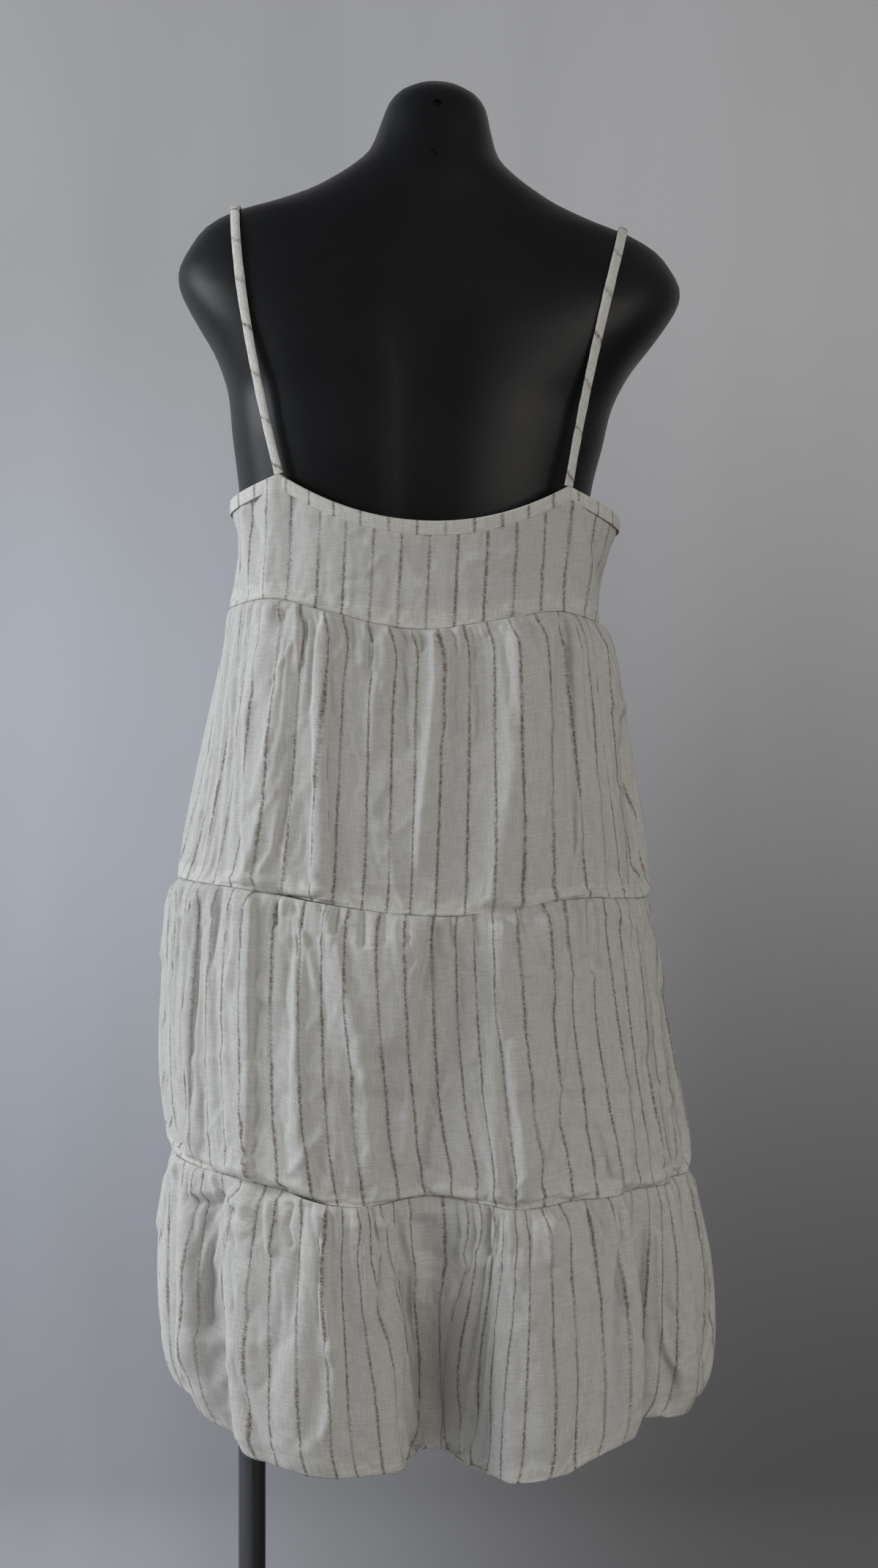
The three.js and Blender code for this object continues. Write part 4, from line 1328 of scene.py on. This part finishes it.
def black_coat():
    s = Shader("base_powder_coat")
    grain = s.noise(s.place(), scale=1400, detail=2)
    return s.finish({
        "Base Color": (0.018, 0.018, 0.02, 1), "Roughness": 0.5,
        "Normal": s.bump(grain, 0.0001, 0.6),
    })


def turned(name, radius, low, high, x, y, bevel, sides):
    """An upright round piece with bevelled rims."""
    bpy.ops.mesh.primitive_cylinder_add(
        vertices=sides, radius=radius * MM, depth=(high - low) * MM,
        location=(x * MM, y * MM, (low + high) / 2 * MM),
    )
    obj = bpy.context.object
    obj.name = obj.data.name = name
    bpy.ops.object.transform_apply(location=True, rotation=True, scale=True)
    edge = obj.modifiers.new("rim", "BEVEL")
    edge.width = bevel * MM
    edge.segments = 3
    edge.limit_method = "ANGLE"
    bpy.ops.object.modifier_apply(modifier="rim")
    bpy.ops.object.shade_smooth_by_angle(angle=math.radians(30))
    return obj


pole = turned("stand_pole", 11, 6.4, 744.6, -139, 6, 0.5, 96)
settle(pole, chrome(), "pole")
plate = turned("stand_plate", 190, 0, 6, 0, 0, 1.5, 160)
settle(plate, black_coat(), "base_plate")

# %% [markdown]

# %% [markdown]
# ## Studio
#
# A pale paper sweep, painted lighter and cooler on the left and darker on the right and
# down low, as the light falls on it; a large soft and slightly cool light from the left,
# and weak warm light from the right. Standard colours keep the greys of the cloth as they are.

# %% Backdrop and lights


def paper():
    s = Shader("paper_backdrop")
    place = s.add("SeparateXYZ", {0: s.place()})
    across, up = place[0], place[2]
    cloud = s.noise(s.vector(s.times(across, 5), 0, up), detail=2)
    # painted light and shade: the paper is lighter and cooler on the left where the window light falls,
    # darker above 1 m, and dark low on the right
    left = s.mix(s.ramp(up, 0.1, 0.9), (0.59, 0.59, 0.62, 1), (0.74, 0.76, 0.81, 1))
    left = s.mix(s.ramp(up, 1.0, 1.6), left, (0.55, 0.54, 0.54, 1))
    right = s.mix(s.ramp(up, 0.1, 1.6), (0.17, 0.165, 0.165, 1), (0.68, 0.67, 0.67, 1))
    painted_light_tone = s.mix(s.ramp(across, -0.55, 0.4), left, right)
    painted_light_tone = s.mix(s.ramp(cloud, 0.3, 0.7, 0.0, 0.12), painted_light_tone, (0.2, 0.2, 0.2, 1))
    return s.finish({"Base Color": painted_light_tone, "Roughness": 0.9})


bpy.ops.mesh.primitive_plane_add(size=1, location=(0, 0, 0))
sweep = bpy.context.object
sweep.name = "backdrop"
for corner in sweep.data.vertices:
    corner.co.x *= 9
    corner.co.y = 0.85 if corner.co.y > 0 else -4.0
    corner.co.z = -0.0005
bpy.ops.object.mode_set(mode="EDIT")
bpy.ops.mesh.select_all(action="DESELECT")
bpy.ops.object.mode_set(mode="OBJECT")
for edge in sweep.data.edges:
    edge.select = all(sweep.data.vertices[k].co.y > 0.8 for k in edge.vertices)
bpy.ops.object.mode_set(mode="EDIT")
bpy.ops.mesh.extrude_region_move(TRANSFORM_OT_translate={"value": (0, 0, 4.0)})
bpy.ops.object.mode_set(mode="OBJECT")
corner_bevel = sweep.modifiers.new("curve", "BEVEL")
corner_bevel.width = 0.12
corner_bevel.segments = 12
bpy.ops.object.modifier_apply(modifier="curve")
bpy.ops.object.shade_smooth()
sweep.data.materials.append(paper())


def soft_light(name, place, aim, size, power, colour):
    bpy.ops.object.light_add(type="AREA", location=place)
    light = bpy.context.object
    light.name = name
    light.data.shape = "RECTANGLE"
    light.data.size, light.data.size_y = size
    light.data.energy = power
    light.data.color = colour
    direction = Vector(aim) - Vector(place)
    light.rotation_euler = direction.to_track_quat("-Z", "Y").to_euler()


soft_light("window", (-2.3, -0.35, 1.72), (0, 0, 1.05), (1.2, 1.4), 41, (0.89, 0.94, 1.0))
soft_light("room", (2.1, -2.5, 1.6), (0, 0, 0.8), (2.2, 2.0), 27, (1.0, 0.95, 0.88))
world = bpy.data.worlds.new("room_air")
bpy.context.scene.world = world
world.use_nodes = True
world.node_tree.nodes["Background"].inputs[0].default_value = (0.9, 0.95, 1.0, 1)
world.node_tree.nodes["Background"].inputs[1].default_value = 0.2
bpy.context.scene.view_settings.view_transform = "Standard"
